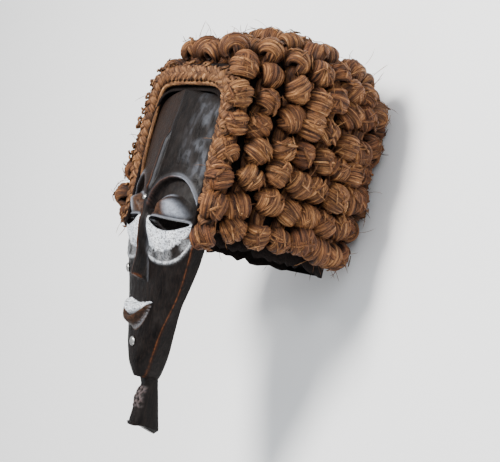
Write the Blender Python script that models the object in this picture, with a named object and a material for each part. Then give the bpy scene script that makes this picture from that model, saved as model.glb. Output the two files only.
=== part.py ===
"""Carved wooden face mask with a deep wig of knotted raffia, lying on the back of the wig.

Metres, +Z up. The face looks up (+Z), the crown of the head points to +Y and the chin post
to -Y. Shapes are worked out around the bridge of the nose, and the whole mask is then set on
the floor with the middle of its box over the origin.
"""
import math

import bmesh
import bpy
from mathutils import Matrix, Vector

# Touching pieces keep this gap
GAP = 0.0003

# Share of the carved surface's faces that the solids keep
FACE_DETAIL = 0.070
POST_DETAIL = 0.105

# Carved face, measured from the bridge of the nose
FACE_TOP = 0.131
CHIN_REACH = 0.192
FACE_HALF_WIDTH = 0.078
WALL = 0.009
CROSS_CURVE = 2.8
KEEL_CURVE = 1.6
KEEL_START = 0.005
KEEL_FULL = 0.035
HOLLOW_END = 0.046

# Half width of the face as a share of the widest, by distance from the chin tip
OUTLINE = ((0.0, 0.10), (0.003, 0.16), (0.012, 0.25), (0.025, 0.345), (0.056, 0.515), (0.094, 0.755),
           (0.138, 0.945), (0.175, 0.995), (0.215, 1.0), (0.252, 1.0))
# Height of the middle line against the bridge
PROFILE = ((0.0, -0.0395), (0.016, -0.0315), (0.040, -0.0268), (0.091, -0.0215), (0.134, -0.014),
           (0.192, -0.001), (0.256, -0.0050), (0.323, -0.0125))
# Height of the front edge and of the flat back rim
EDGE = ((0.0, -0.0485), (0.025, -0.042), (0.056, -0.038), (0.094, -0.0365), (0.138, -0.031),
        (0.192, -0.028), (0.256, -0.025), (0.323, -0.0265))
RIM = ((0.0, -0.0645), (0.034, -0.059), (0.056, -0.054), (0.092, -0.046), (0.192, -0.045), (0.323, -0.050))

# Eyes and brows, on each side of the middle line
EYE_X = 0.519 * FACE_HALF_WIDTH
EYE_Y = -0.0150
BROW_RX = 0.481 * FACE_HALF_WIDTH
BROW_RY = 0.0460
BROW_HEIGHT = 0.0032
BROW_FLAT = 0.0024
BROW_FALL = 0.0095
SOCKET_DEPTH = 0.0066
LID_RX = 0.378 * FACE_HALF_WIDTH
LID_RY = 0.0255
LID_HEIGHT = 0.0052
LID_START = 0.0040
SLIT_HALF = 0.365 * FACE_HALF_WIDTH
SLIT_SHIFT = 0.002
SLIT_HEIGHT = 0.0124
SLIT_DROP = 0.0030
SLIT_SAG = 0.0050
CHEEK_RX = 0.474 * FACE_HALF_WIDTH
CHEEK_RY = 0.0375
CHEEK_SKEW = 0.33
CHEEK_HEIGHT = 0.0045
BAG_RX = 0.487 * FACE_HALF_WIDTH
BAG_RY = 0.0495
BAG_SKEW = 0.10
BAG_POWER = 2.6
BAG_HALF = 0.0034
BAG_HEIGHT = 0.0022

# Nose, lips and forehead rib
NOSE_START = 0.012
NOSE_END = -0.0835
NOSE_HALF = 0.0125
NOSE_HEIGHT = 0.0135
MOUTH_Y = -0.1270
MOUTH_HALF = 0.0265
MOUTH_RISE = 0.0170
LIP_HALF = 0.0125
LIP_HEIGHT = 0.0140
RIB_START = 0.012
RIB_END = 0.085
RIB_HALF = 0.0042
RIB_HEIGHT = 0.0038
RIB_POINT = 0.016

# Post under the chin, leaning as the lower face does
POST_LEAN = math.radians(16.6)
POST_SINK = 0.008
POST_REST = 0.0085
POST_START = CHIN_REACH - POST_SINK
POST_Z = RIM[0][1] + POST_REST
POST_LENGTH = 0.071
POST_WIDTH = 0.021
POST_DEPTH = 0.018
POST_FOOT_DEPTH = 0.034
POST_FOOT_SLANT = 0.016
POST_RELIEF = 0.0016
POST_PANEL = (0.20, 0.56)

# Domed metal tacks: radius of the head, its height, radius and length of the shank
TACK_SHANK_RADIUS = 0.0013
TACK_SHANK_LENGTH = 0.0060
TACKS = (("tack_bridge", 0.0, 0.0030, 0.0034, 0.0018),
         ("tack_cheek", -0.654 * FACE_HALF_WIDTH, -0.0760, 0.0054, 0.0026),
         ("tack_chin", 0.0, -0.1550, 0.0054, 0.0026))

# Wig: the inside of its net lining is the driving form
LINING = 0.0025
LINING_FIT = 0.0005
KNOT_BED = 0.0140
KNOT_RADIUS = 0.0182
KNOT_PITCH = 0.0315
REST_FLAT = 0.68
COURSE_PITCH = 0.0270
FIRST_COURSE = -0.0400
HOOD_FRONT = -0.0200
HOOD_REAR = -0.2195
HOOD_LIP = 0.0065
HOOD_FLARE = 0.0330
HOOD_SWELL = 0.0085
CROWN_SWELL = 0.0270
HOOD_CORNER = 0.0550
CORNER_DROP = 0.45
HOOD_SHOULDER = 0.0600
ARCH_POWER = 5.0
CORNER_DETAIL = 0.10
RIM_Y = -0.0060
FRONT_SAG = 0.018
FRINGE_Y = -0.0340
HOOD_MIDDLE = Vector((0.0, 0.075, -0.125))
# Distance from the lining's inside to the middles of the knots, and the plane that the mask rests on
KNOT_SEAT = GAP + LINING + GAP + KNOT_BED
FLOOR = HOOD_REAR - KNOT_SEAT - KNOT_RADIUS * REST_FLAT

# Braid along the front of the wig
BRAID_RADIUS = 0.0098
BRAID_OFFSET = 0.0112
BRAID_LIFT = -0.0165
BRAID_CROWN = 0.0200
BRAID_END_Y = -0.0270
BRAID_SINK = 0.0060
BRAID_BEND = 0.0050

WOOD = ("dark_stained_wood", (0.020, 0.016, 0.015), 0.34, 0.0)
PEWTER = ("domed_tack_metal", (0.52, 0.52, 0.50), 0.33, 1.0)
RAFFIA = ("knotted_raffia", (0.205, 0.088, 0.036), 0.78, 0.0)
PLAIT = ("plaited_raffia", (0.330, 0.180, 0.085), 0.76, 0.0)
NET = ("dark_net", (0.014, 0.011, 0.010), 0.92, 0.0)


def between(stations, at):
    """Smooth value through a short row of stations."""
    last = len(stations) - 1
    at = min(max(at, stations[0][0]), stations[last][0])
    k = 0
    while k < last - 1 and at > stations[k + 1][0]:
        k += 1
    x0, y0 = stations[k]
    x1, y1 = stations[k + 1]
    slope = (y1 - y0) / (x1 - x0)
    before = (y0 - stations[k - 1][1]) / (x0 - stations[k - 1][0]) if k > 0 else slope
    after = (stations[k + 2][1] - y1) / (stations[k + 2][0] - x1) if k + 2 <= last else slope
    m0 = 0.0 if before * slope <= 0 else 2 * before * slope / (before + slope)
    m1 = 0.0 if after * slope <= 0 else 2 * after * slope / (after + slope)
    if k == 0:
        m0 = slope
    if k + 1 == last:
        m1 = slope
    t = (at - x0) / (x1 - x0)
    h = x1 - x0
    return ((2 * t ** 3 - 3 * t ** 2 + 1) * y0 + (t ** 3 - 2 * t ** 2 + t) * h * m0
            + (3 * t ** 2 - 2 * t ** 3) * y1 + (t ** 3 - t ** 2) * h * m1)


def step(low, high, value):
    """Smooth rise from 0 at low to 1 at high."""
    t = min(max((value - low) / (high - low), 0.0), 1.0)
    return t * t * (3 - 2 * t)


def bell(distance, half):
    return math.exp(-(distance / half) ** 2)


def face_half_width(y):
    """Half width of the face: its carved outline below, the arch that carries the wig above."""
    if y <= HOOD_SHOULDER:
        return FACE_HALF_WIDTH * between(OUTLINE, y + CHIN_REACH)
    share = min((y - HOOD_SHOULDER) / (FACE_TOP - HOOD_SHOULDER), 0.998)
    return FACE_HALF_WIDTH * (1 - share ** ARCH_POWER) ** (1 / ARCH_POWER)


def face_base(x, y):
    """Height of the uncarved face."""
    middle = between(PROFILE, y + CHIN_REACH)
    edge = between(EDGE, y + CHIN_REACH)
    share = min(abs(x) / face_half_width(y), 1.0)
    power = CROSS_CURVE + (KEEL_CURVE - CROSS_CURVE) * step(KEEL_START, KEEL_FULL, y)
    return middle - (middle - edge) * share ** power


def eye_relief(ax, y):
    """Brow arch, socket, lid, cheek crescent and the fold under it."""
    dx = ax - EYE_X
    dy = y - EYE_Y
    brow = (math.hypot(dx / BROW_RX, dy / BROW_RY) - 1) * BROW_RX
    lid = math.hypot(dx / LID_RX, dy / LID_RY)
    cheek = math.hypot((dx - CHEEK_SKEW * dy) / CHEEK_RX, dy / CHEEK_RY)
    bag = (abs((dx - BAG_SKEW * dy) / BAG_RX) ** BAG_POWER + abs(dy / BAG_RY) ** BAG_POWER) ** (1 / BAG_POWER)
    upper = step(0.0, 2 * LID_START, dy)
    lower = step(0.001, -0.006, dy)
    height = BROW_HEIGHT * step(BROW_FLAT + BROW_FALL, BROW_FLAT, brow) * step(LID_START, 5 * LID_START, dy)
    height -= (SOCKET_DEPTH + BROW_HEIGHT) * step(0.0, -BROW_FLAT, brow) * upper
    height += (LID_HEIGHT + SOCKET_DEPTH) * upper * (1 - step(0.62, 1.06, lid))
    height += CHEEK_HEIGHT * lower * (1 - step(0.72, 1.02, cheek))
    height += BAG_HEIGHT * lower * bell((bag - 1) * BAG_RY, BAG_HALF)
    return height


def nose_relief(ax, y):
    """Straight ridge that widens and rises to a flat cut end."""
    if y > NOSE_START or y < NOSE_END - 0.006:
        return 0.0
    along = (NOSE_START - y) / (NOSE_START - NOSE_END)
    half = NOSE_HALF * (0.30 + 0.70 * min(along, 1.0) ** 1.4)
    height = NOSE_HEIGHT * (0.16 + 0.84 * min(along, 1.0) ** 1.25)
    height *= step(NOSE_END - 0.005, NOSE_END + 0.001, y)
    return height * (1 - step(0.25, 1.10, ax / half)) * step(-0.02, 0.18, along)


def lip_relief(ax, y):
    """Two lips in a smiling crescent, parted by a groove."""
    share = ax / MOUTH_HALF
    if share >= 1:
        return 0.0
    middle = MOUTH_Y + MOUTH_RISE * share ** 2
    half = LIP_HALF * (1 - share ** 2) ** 0.75 + 0.0005
    across = (y - middle) / half
    if abs(across) >= 1.25:
        return 0.0
    body = LIP_HEIGHT * (1 - share ** 2) ** 0.5 * (1 - step(0.45, 1.2, abs(across)))
    return body - 0.35 * LIP_HEIGHT * bell(across, 0.16) * (1 - share ** 2)


def rib_relief(ax, y):
    end = step(RIB_END, RIB_END - RIB_POINT, y) * step(RIB_START - RIB_HALF, RIB_START + RIB_HALF, y)
    half = RIB_HALF * (0.25 + 0.75 * step(RIB_END, RIB_END - RIB_POINT, y))
    return RIB_HEIGHT * end * (1 - step(0.55, 1.15, ax / half))


def face_height(x, y):
    """Height of the carved face."""
    ax = abs(x)
    carved = eye_relief(ax, y) + nose_relief(ax, y) + lip_relief(ax, y) + rib_relief(ax, y)
    inner = 1 - step(0.955, 1.0, ax / face_half_width(y))
    return face_base(x, y) + carved * inner


def new_object(name, bm, material=None, smooth=35.0):
    """Object from a bmesh, faces turned out, round parts shaded smooth."""
    bmesh.ops.recalc_face_normals(bm, faces=bm.faces)
    mesh = bpy.data.meshes.new(name)
    bm.to_mesh(mesh)
    bm.free()
    obj = bpy.data.objects.new(name, mesh)
    bpy.context.scene.collection.objects.link(obj)
    if material:
        mesh.materials.append(material)
        mesh.shade_smooth()
        mesh.set_sharp_from_angle(angle=math.radians(smooth))
    else:
        obj.hide_render = True
        obj.display_type = "WIRE"
    return obj


def make_material(spec):
    name, colour, roughness, metallic = spec
    material = bpy.data.materials.new(name)
    material.use_nodes = True
    shader = material.node_tree.nodes["Principled BSDF"]
    shader.inputs["Base Color"].default_value = (*colour, 1.0)
    shader.inputs["Roughness"].default_value = roughness
    shader.inputs["Metallic"].default_value = metallic
    return material


def cut(target, cutter, operation="DIFFERENCE"):
    modifier = target.modifiers.new(operation.lower() + "_" + cutter.name, "BOOLEAN")
    modifier.operation = operation
    modifier.solver = "EXACT"
    modifier.object = cutter


def loft(bm, rings, close_start=True, close_end=True):
    """Skin closed rings of equal count; the ends are closed by flat faces."""
    rows = [[bm.verts.new(p) for p in ring] for ring in rings]
    count = len(rows[0])
    for a, b in zip(rows, rows[1:]):
        for k in range(count):
            n = (k + 1) % count
            bm.faces.new((a[k], a[n], b[n], b[k]))
    if close_start:
        bm.faces.new(rows[0])
    if close_end:
        bm.faces.new(list(reversed(rows[-1])))
    return rows


def face_ring(y, columns, height, half, bottom):
    """Closed ring across the face at one place along it."""
    ring = []
    for k in range(columns + 1):
        x = half * math.sin(math.pi / 2 * (2 * k / columns - 1))
        ring.append(Vector((x, y, height(x, y))))
    ring.append(Vector((half, y, bottom)))
    ring.append(Vector((-half, y, bottom)))
    return ring


def carved_block(columns=84, rows=150):
    """Face with its carving and a flat back, thinned to the faces that its forms need."""
    bm = bmesh.new()
    rings = []
    for j in range(rows + 1):
        t = j / rows
        t = t if t < 0.8 else 0.8 + 0.2 * math.sin(math.pi / 2 * (t - 0.8) / 0.2)
        y = -CHIN_REACH + (CHIN_REACH + FACE_TOP) * t
        rings.append(face_ring(y, columns, face_height, face_half_width(y), between(RIM, y + CHIN_REACH)))
    loft(bm, rings)
    return bm


def hollow_cutter(columns=14, rows=16):
    """Inside of the face: its front set back by the wall."""
    bm = bmesh.new()
    start = -CHIN_REACH + HOLLOW_END
    end = FACE_TOP - WALL
    rings = []
    for j in range(rows + 1):
        y = start + (end - start) * j / rows
        half = max(face_half_width(y) - WALL, WALL)
        scale = face_half_width(y) / half
        round_off = 0.004 * (1 - step(0.0, 0.02, y - start)) + 0.004 * step(end - 0.012, end, y)

        def inner(x, at, s=scale, drop=round_off):
            return face_base(x * s, at) - WALL - drop

        rings.append(face_ring(y, columns, inner, half, between(RIM, y + CHIN_REACH) - 0.02))
    loft(bm, rings)
    return bm


def slit_cutter(side, points=9):
    """Crescent opening between the lids, cut straight through."""
    bm = bmesh.new()
    upper = []
    lower = []
    for k in range(points + 1):
        t = 2 * k / points - 1
        x = side * (EYE_X + SLIT_SHIFT + SLIT_HALF * t)
        middle = EYE_Y - SLIT_DROP - SLIT_SAG * (1 - t * t)
        half = 0.5 * SLIT_HEIGHT * (1 - t * t) ** 0.6
        upper.append((x, middle + half))
        lower.append((x, middle - half))
    outline = upper + lower[-2:0:-1]
    rings = [[Vector((x, y, z)) for x, y in outline] for z in (2 * WALL, RIM[0][1] - 2 * WALL)]
    loft(bm, rings)
    return bm


def post_point(across, forward, down):
    """Point of the post: across the face, forward of its line and down along it."""
    y = -POST_START - down * math.cos(POST_LEAN) - forward * math.sin(POST_LEAN)
    z = POST_Z - down * math.sin(POST_LEAN) + forward * math.cos(POST_LEAN)
    return Vector((across, y, z))


def post_relief(along, turn):
    """Carved lozenges on the front of the post."""
    start, end = POST_PANEL
    if not start < along < end:
        return 0.0
    u = 2.5 * (along - start) / (end - start)
    v = 1.3 * turn
    strands = max(bell(abs((u + v) % 1.0 - 0.5), 0.16), bell(abs((u - v) % 1.0 - 0.5), 0.16))
    fade = step(start, start + 0.05, along) * step(end, end - 0.05, along)
    return POST_RELIEF * strands * fade * (1 - step(0.75, 1.0, abs(turn)))


def chin_post(rows=44, around=48):
    """Post carved in one with the chin, flaring forward to a slanted foot."""
    bm = bmesh.new()
    rings = []
    for j in range(rows + 1):
        t = j / rows
        waist = 1 - 0.10 * bell(t - 0.20, 0.12)
        half = 0.5 * POST_WIDTH * waist * (1 + 0.14 * step(0.3, 1.0, t))
        spread = 0.35 * step(0.18, 0.40, t) + 0.65 * step(0.35, 0.95, t)
        depth = POST_DEPTH * waist + (POST_FOOT_DEPTH - POST_DEPTH) * spread
        shrink = 1 - 0.28 * step(0.93, 1.0, t) ** 2
        ring = []
        for k in range(around):
            angle = 2 * math.pi * k / around
            c = math.copysign(abs(math.cos(angle)) ** 0.55, math.cos(angle))
            s = math.copysign(abs(math.sin(angle)) ** 0.55, math.sin(angle))
            front = 0.5 * (1 + s)
            turn = c if s > 0.6 else 2.0
            forward = depth * (front * shrink + 0.5 * (1 - shrink)) - 0.5 * POST_DEPTH + post_relief(t, turn)
            down = POST_LENGTH * t - POST_FOOT_SLANT * step(0.80, 1.0, t) * front
            ring.append(post_point(half * shrink * c, forward, down))
        rings.append(ring)
    loft(bm, rings)
    return bm


def dome(radius, height, rings, base):
    """Low dome with a shank under it, centred on the origin, its rim at the base height."""
    outline = [(0.0, base + height)]
    for k in range(1, rings + 1):
        angle = math.pi / 2 * k / rings
        outline.append((radius * math.sin(angle), base + height * math.cos(angle)))
    outline.append((TACK_SHANK_RADIUS, base))
    outline.append((TACK_SHANK_RADIUS, base - TACK_SHANK_LENGTH))
    return outline


def turned(outline, around=12):
    """Solid turned about Z from an outline that runs from the top of the axis down."""
    bm = bmesh.new()
    top = bm.verts.new((0, 0, outline[0][1]))
    rows = []
    for radius, z in outline[1:]:
        row = [bm.verts.new((radius * math.cos(2 * math.pi * k / around),
                             radius * math.sin(2 * math.pi * k / around), z)) for k in range(around)]
        rows.append(row)
    for k in range(around):
        n = (k + 1) % around
        bm.faces.new((top, rows[0][k], rows[0][n]))
        for a, b in zip(rows, rows[1:]):
            bm.faces.new((a[k], b[k], b[n], a[n]))
    bm.faces.new(list(reversed(rows[-1])))
    return bm


def tack_place(x, y, radius):
    """Where the head's rim rests: over the highest wood under it, upright to the surface."""
    e = radius
    slope_x = (face_height(x + e, y) - face_height(x - e, y)) / (2 * e)
    slope_y = (face_height(x, y + e) - face_height(x, y - e)) / (2 * e)
    normal = Vector((-slope_x, -slope_y, 1)).normalized()
    centre = Vector((x, y, face_height(x, y)))
    lift = 0.0
    for k in range(12):
        angle = math.pi * k / 6
        side = Vector((math.cos(angle), math.sin(angle), 0))
        side = (side - normal * side.dot(normal)).normalized() * radius
        p = centre + side
        lift = max(lift, (face_height(p.x, p.y) - p.z) * normal.z)
    return centre + normal * (lift + GAP), normal


def hood_depth_share(z):
    return min(max((HOOD_FRONT - z) / (HOOD_FRONT - HOOD_REAR), 0.0), 1.0)


def hood_section(z, offset):
    """Half width and top of the hood at one depth, grown outward by the offset."""
    share = hood_depth_share(z)
    flare = step(HOOD_FRONT - 0.3 * HOOD_LIP, HOOD_FRONT - 1.54 * HOOD_LIP, z)
    half = FACE_HALF_WIDTH + GAP + HOOD_SWELL * math.sin(math.pi * share) * step(0.13, 0.36, share)
    top = FACE_TOP + GAP + HOOD_FLARE * flare
    top += CROWN_SWELL * math.sin(math.pi * share ** 0.85) * step(0.05, 0.41, share)
    radius = HOOD_CORNER + offset
    into = (HOOD_REAR + HOOD_CORNER) - z
    inset = radius - math.sqrt(max(radius ** 2 - min(max(into, 0.0), radius) ** 2, 0.0))
    return half + offset - inset, top + offset - CORNER_DROP * inset


def arch(half, top, low, count=96):
    """Arch outline from the near lower edge over the crown to the far lower edge."""
    shoulder = min(HOOD_SHOULDER, top - 0.5 * half)
    points = [Vector((half, low)), Vector((half, shoulder))]
    for k in range(1, count):
        angle = math.pi * k / count
        c = math.copysign(abs(math.cos(angle)) ** (2 / ARCH_POWER), math.cos(angle))
        s = abs(math.sin(angle)) ** (2 / ARCH_POWER)
        points.append(Vector((half * c, shoulder + (top - shoulder) * s)))
    points += [Vector((-half, shoulder)), Vector((-half, low))]
    return points


def resample(points, count, turning=0.0):
    """Points at equal steps along a polyline, closer together in its bends if turning is set."""
    lengths = [0.0]
    for k in range(1, len(points)):
        ahead = points[k] - points[k - 1]
        behind = points[k - 1] - points[max(k - 2, 0)]
        bend = ahead.angle(behind, 0.0) if behind.length > 0 and ahead.length > 0 else 0.0
        lengths.append(lengths[-1] + ahead.length + turning * bend)
    out = []
    k = 0
    for j in range(count + 1):
        want = lengths[-1] * j / count
        while k < len(lengths) - 2 and lengths[k + 1] < want:
            k += 1
        t = (want - lengths[k]) / (lengths[k + 1] - lengths[k])
        out.append(points[k].lerp(points[k + 1], min(max(t, 0.0), 1.0)))
    return out


def hood_stations(offset):
    """Depths of the hood's sections, close together where it bends."""
    front = [HOOD_FRONT - HOOD_LIP * share for share in (0.0, 0.38, 1.0, 1.54)]
    front += [HOOD_FRONT - (HOOD_FRONT - HOOD_REAR) * share for share in (0.16, 0.33, 0.50)]
    radius = HOOD_CORNER + offset
    turn = HOOD_REAR + HOOD_CORNER
    rear = [turn - radius * math.sin(math.pi / 2 * k / 4) for k in range(0, 5)]
    return front + rear


def face_plug(points=48):
    """The face's outline, grown by the fit of the lining around it."""
    bm = bmesh.new()
    outline = []
    low = FRINGE_Y - 2 * WALL
    for k in range(points + 1):
        t = k / points
        y = low + (FACE_TOP - low) * math.sin(math.pi / 2 * t)
        outline.append((face_half_width(y) + LINING_FIT, y + LINING_FIT * t))
    outline += [(-x, y) for x, y in reversed(outline)]
    loft(bm, [[Vector((x, y, z)) for x, y in outline] for z in (2 * RIM[0][1], 3 * WALL)])
    return bm


def hood_sheet(offset, around=22):
    """Open hood: arches from the front back to the rear, where the last one is filled."""
    bm = bmesh.new()
    rows = []
    for z in hood_stations(offset):
        half, top = hood_section(z, offset)
        outline = resample(arch(half, top, FRINGE_Y), around, CORNER_DETAIL)
        rows.append([bm.verts.new((p.x, p.y, z)) for p in outline])
    for a, b in zip(rows, rows[1:]):
        for k in range(around):
            bm.faces.new((a[k], a[k + 1], b[k + 1], b[k]))
    last = rows[-1]
    for k in range(around // 2):
        a, b, c, d = last[k], last[k + 1], last[around - k - 1], last[around - k]
        if k == around // 2 - 1:
            bm.faces.new((a, b, d))
        else:
            bm.faces.new((a, b, c, d))
    return bm


def hood_block(offset, around=22):
    """Closed form that cuts the room for the lining out of the knots."""
    bm = bmesh.new()
    rings = []
    for z in [3 * WALL] + hood_stations(offset):
        half, top = hood_section(min(z, HOOD_FRONT - HOOD_LIP), offset)
        outline = resample(arch(half, top, FRINGE_Y - 3 * WALL), around, CORNER_DETAIL)
        rings.append([Vector((p.x, p.y, z)) for p in outline])
    loft(bm, rings)
    return bm


def course_depths(steps=160, inward=24):
    """Distance of each course of knots along the hood, and the arch that carries it."""
    rear = HOOD_REAR - KNOT_SEAT
    dense = []
    for k in range(steps + 1):
        z = FIRST_COURSE + (rear - FIRST_COURSE) * k / steps
        half, top = hood_section(z, KNOT_SEAT)
        dense.append(Vector((half, z, top)))
    last = dense[-1]
    for k in range(1, inward + 1):
        shrunk = last.x * (1 - k / inward)
        dense.append(Vector((shrunk, rear, last.z - (last.x - shrunk))))
    lengths = [0.0]
    for a, b in zip(dense, dense[1:]):
        lengths.append(lengths[-1] + math.hypot(b.x - a.x, b.y - a.y))
    count = round(lengths[-1] / COURSE_PITCH)
    out = []
    for j in range(count + 1):
        want = lengths[-1] * j / (count + 0.25)
        k = min(max(i for i, v in enumerate(lengths) if v <= want + 1e-9), len(dense) - 2)
        out.append(dense[k].lerp(dense[k + 1], (want - lengths[k]) / (lengths[k + 1] - lengths[k])))
    return out


def knot_places():
    """Middle and outward direction of every raffia knot."""
    places = []
    rear = HOOD_REAR - KNOT_SEAT
    for row, (half, z, top) in enumerate(course_depths()):
        low = RIM_Y - FRONT_SAG * bell(z - FIRST_COURSE, COURSE_PITCH)
        if half < 0.6 * KNOT_PITCH:
            outline = [Vector((0.0, low)), Vector((0.0, top))]
            count = max(1, round((top - low) / KNOT_PITCH))
        else:
            outline = arch(half, top, low)
            length = sum((b - a).length for a, b in zip(outline, outline[1:]))
            count = round(length / KNOT_PITCH)
        if (count + row) % 2:
            count += 1
        for k, p in enumerate(resample(outline, count)):
            middle = Vector((p.x, p.y, z))
            out = hood_normal(middle, rear)
            if row == 0:
                out = (out + Vector((0, 0, 0.6))).normalized()
            if k in (0, count) or (half < 0.6 * KNOT_PITCH and k == 0):
                out = (out + Vector((0, -0.5, 0))).normalized()
            places.append((middle, out))
    return places


def hood_normal(p, rear):
    """Outward direction of the hood, by the slope of a rounded box."""
    centre = Vector((0.0, HOOD_SHOULDER, 0.5 * (HOOD_FRONT + rear)))
    sizes = (FACE_HALF_WIDTH + 0.022, 0.135, 0.5 * (HOOD_FRONT - rear))
    q = p - centre
    y = max(q.y, 0.0) / sizes[1]
    x = q.x / sizes[0]
    z = min(q.z, 0.0) / sizes[2]
    power = 5
    return Vector((math.copysign(abs(x) ** power / sizes[0], x), y ** power / sizes[1],
                   math.copysign(abs(z) ** power / sizes[2], z))).normalized()


def knot_fillers():
    """Flat places that close the front and the underside until the hood is cut open."""
    fillers = []
    half, top = hood_section(FIRST_COURSE, 0.0)
    for inset in (0.012, 0.045):
        outline = arch(half - inset, top - inset, RIM_Y)
        fillers += [(p.x, p.y, FIRST_COURSE + 0.002) for p in resample(outline, 14 if inset < 0.02 else 8)]
    for depth in range(1, 7):
        z = FIRST_COURSE + (HOOD_REAR - FIRST_COURSE) * depth / 6.4
        at = hood_section(z, -WALL)[0]
        fillers += [(at * k / 2, RIM_Y - 0.004, z) for k in (-2, -1, 0, 1, 2)]
    fillers.append((0.0, 0.5 * FACE_TOP, FIRST_COURSE + 0.002))
    return [Vector(p) for p in fillers]


def knot_body():
    """All raffia knots fused: each one a raised cell, the hollows between them shared."""
    centres = [(p, n, KNOT_RADIUS) for p, n in knot_places()]
    centres += [(p, (p - HOOD_MIDDLE).normalized(), 0.0) for p in knot_fillers()]
    shell = bmesh.new()
    verts = [shell.verts.new((p - HOOD_MIDDLE).normalized()) for p, n, r in centres]
    index = {v: k for k, v in enumerate(verts)}
    bmesh.ops.convex_hull(shell, input=shell.verts)
    triangles = [tuple(index[v] for v in f.verts) for f in shell.faces]
    around = {k: [] for k in range(len(centres))}
    for t, corners in enumerate(triangles):
        for c in corners:
            around[c].append(t)
    bm = bmesh.new()
    corner_verts = []
    for corners in triangles:
        middle = sum((centres[c][0] for c in corners), Vector()) / 3
        out = sum((centres[c][1] for c in corners), Vector()).normalized()
        if sum(1 for c in corners if centres[c][2] > 0) == 3:
            middle += out * 0.18 * KNOT_RADIUS
        middle.z = max(middle.z, FLOOR)
        corner_verts.append(bm.verts.new(middle))
    for k, (p, n, radius) in enumerate(centres):
        ring = order_around([corner_verts[t] for t in around[k]], p, (p - HOOD_MIDDLE).normalized())
        if radius == 0.0:
            crest = bm.verts.new(p)
            for a, b in zip(ring, ring[1:] + ring[:1]):
                bm.faces.new((crest, a, b))
            continue
        shoulder = []
        for v in ring:
            place = p.lerp(v.co, 0.62) + n * (0.70 * radius)
            place.z = max(place.z, FLOOR)
            shoulder.append(bm.verts.new(place))
        crest_place = p + n * radius
        crest_place.z = max(crest_place.z, FLOOR)
        crest = bm.verts.new(crest_place)
        count = len(ring)
        for j in range(count):
            m = (j + 1) % count
            bm.faces.new((crest, shoulder[j], shoulder[m]))
            bm.faces.new((shoulder[j], ring[j], ring[m], shoulder[m]))
    shell.free()
    bmesh.ops.triangulate(bm, faces=bm.faces)
    return bm


def order_around(ring, centre, axis):
    """Vertices sorted by turn about an axis."""
    side = axis.orthogonal().normalized()
    other = axis.cross(side)
    return sorted(ring, key=lambda v: math.atan2((v.co - centre).dot(other), (v.co - centre).dot(side)))


def braid_path(steps=60):
    """Middle line of the braid, along the front edge of the hood."""
    half = hood_section(HOOD_FRONT - HOOD_LIP, BRAID_OFFSET)[0]
    outline = resample(arch(half, FACE_TOP + BRAID_CROWN, BRAID_END_Y), steps)
    path = []
    for p in outline:
        sink = BRAID_SINK * step(HOOD_SHOULDER, 0.0, p.y) + BRAID_BEND * (abs(p.x) / half) ** 4
        path.append(Vector((p.x, p.y, BRAID_LIFT - sink)))
    return path


def braid_body(grow=0.0, around=8):
    """Plait as one fused tube whose width swells with each crossing strand."""
    path = braid_path()
    last = len(path) - 1
    if grow:
        path[0] += (path[0] - path[1]).normalized() * grow
        path[last] += (path[last] - path[last - 1]).normalized() * grow
    bm = bmesh.new()
    rings = []
    for k, p in enumerate(path):
        ahead = (path[min(k + 1, last)] - path[max(k - 1, 0)]).normalized()
        side = ahead.cross(Vector((0, 0, 1))).normalized()
        up = side.cross(ahead)
        radius = BRAID_RADIUS * (1.0 if k % 2 == 0 else 0.80) + grow
        if k in (0, last):
            radius *= 0.70 if grow else 0.62
        turns = [2 * math.pi * j / around for j in range(around)]
        rings.append([p + (side * math.cos(t) + up * math.sin(t) * 0.85) * radius for t in turns])
    loft(bm, rings)
    return bm


def build():
    for obj in list(bpy.data.objects):
        bpy.data.objects.remove(obj)
    wood = make_material(WOOD)
    metal = make_material(PEWTER)
    raffia = make_material(RAFFIA)
    plait = make_material(PLAIT)
    net = make_material(NET)

    face = new_object("carved_face", carved_block(), wood)
    thin = face.modifiers.new("thin_out", "DECIMATE")
    thin.ratio = FACE_DETAIL
    post = new_object("post_form", chin_post())
    thin = post.modifiers.new("thin_out", "DECIMATE")
    thin.ratio = POST_DETAIL
    cut(face, post, "UNION")
    cut(face, new_object("hollow_form", hollow_cutter()))
    for side, label in ((1, "left"), (-1, "right")):
        cut(face, new_object("slit_form_" + label, slit_cutter(side)))

    for name, x, y, radius, height in TACKS:
        place, normal = tack_place(x, y, radius)
        turn = Vector((0, 0, 1)).rotation_difference(normal).to_matrix().to_4x4()
        where = Matrix.Translation(place) @ turn
        outline = dome(radius, height, 3, 0.0)
        tack = new_object(name, turned(outline), metal)
        tack.matrix_world = where
        hole_outline = [(0.0, 0.001), (TACK_SHANK_RADIUS + GAP, 0.001),
                        (TACK_SHANK_RADIUS + GAP, -TACK_SHANK_LENGTH - GAP)]
        hole = new_object("hole_form_" + name, turned(hole_outline))
        hole.matrix_world = where
        cut(face, hole)

    braid_form = new_object("braid_form", braid_body(grow=GAP * 1.4))
    braid = new_object("raffia_braid", braid_body(), plait)
    lining = new_object("net_lining", hood_sheet(GAP + LINING), net)
    wall = lining.modifiers.new("cloth_thickness", "SOLIDIFY")
    wall.thickness = LINING - GAP
    wall.offset = -1.0
    wall.use_even_offset = True
    cut(lining, new_object("face_form", face_plug()))
    cut(lining, braid_form)
    knots = new_object("raffia_knots", knot_body(), raffia)
    cut(knots, new_object("lining_form", hood_block(LINING + 3 * GAP)))
    cut(knots, braid_form)
    settle()


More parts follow.
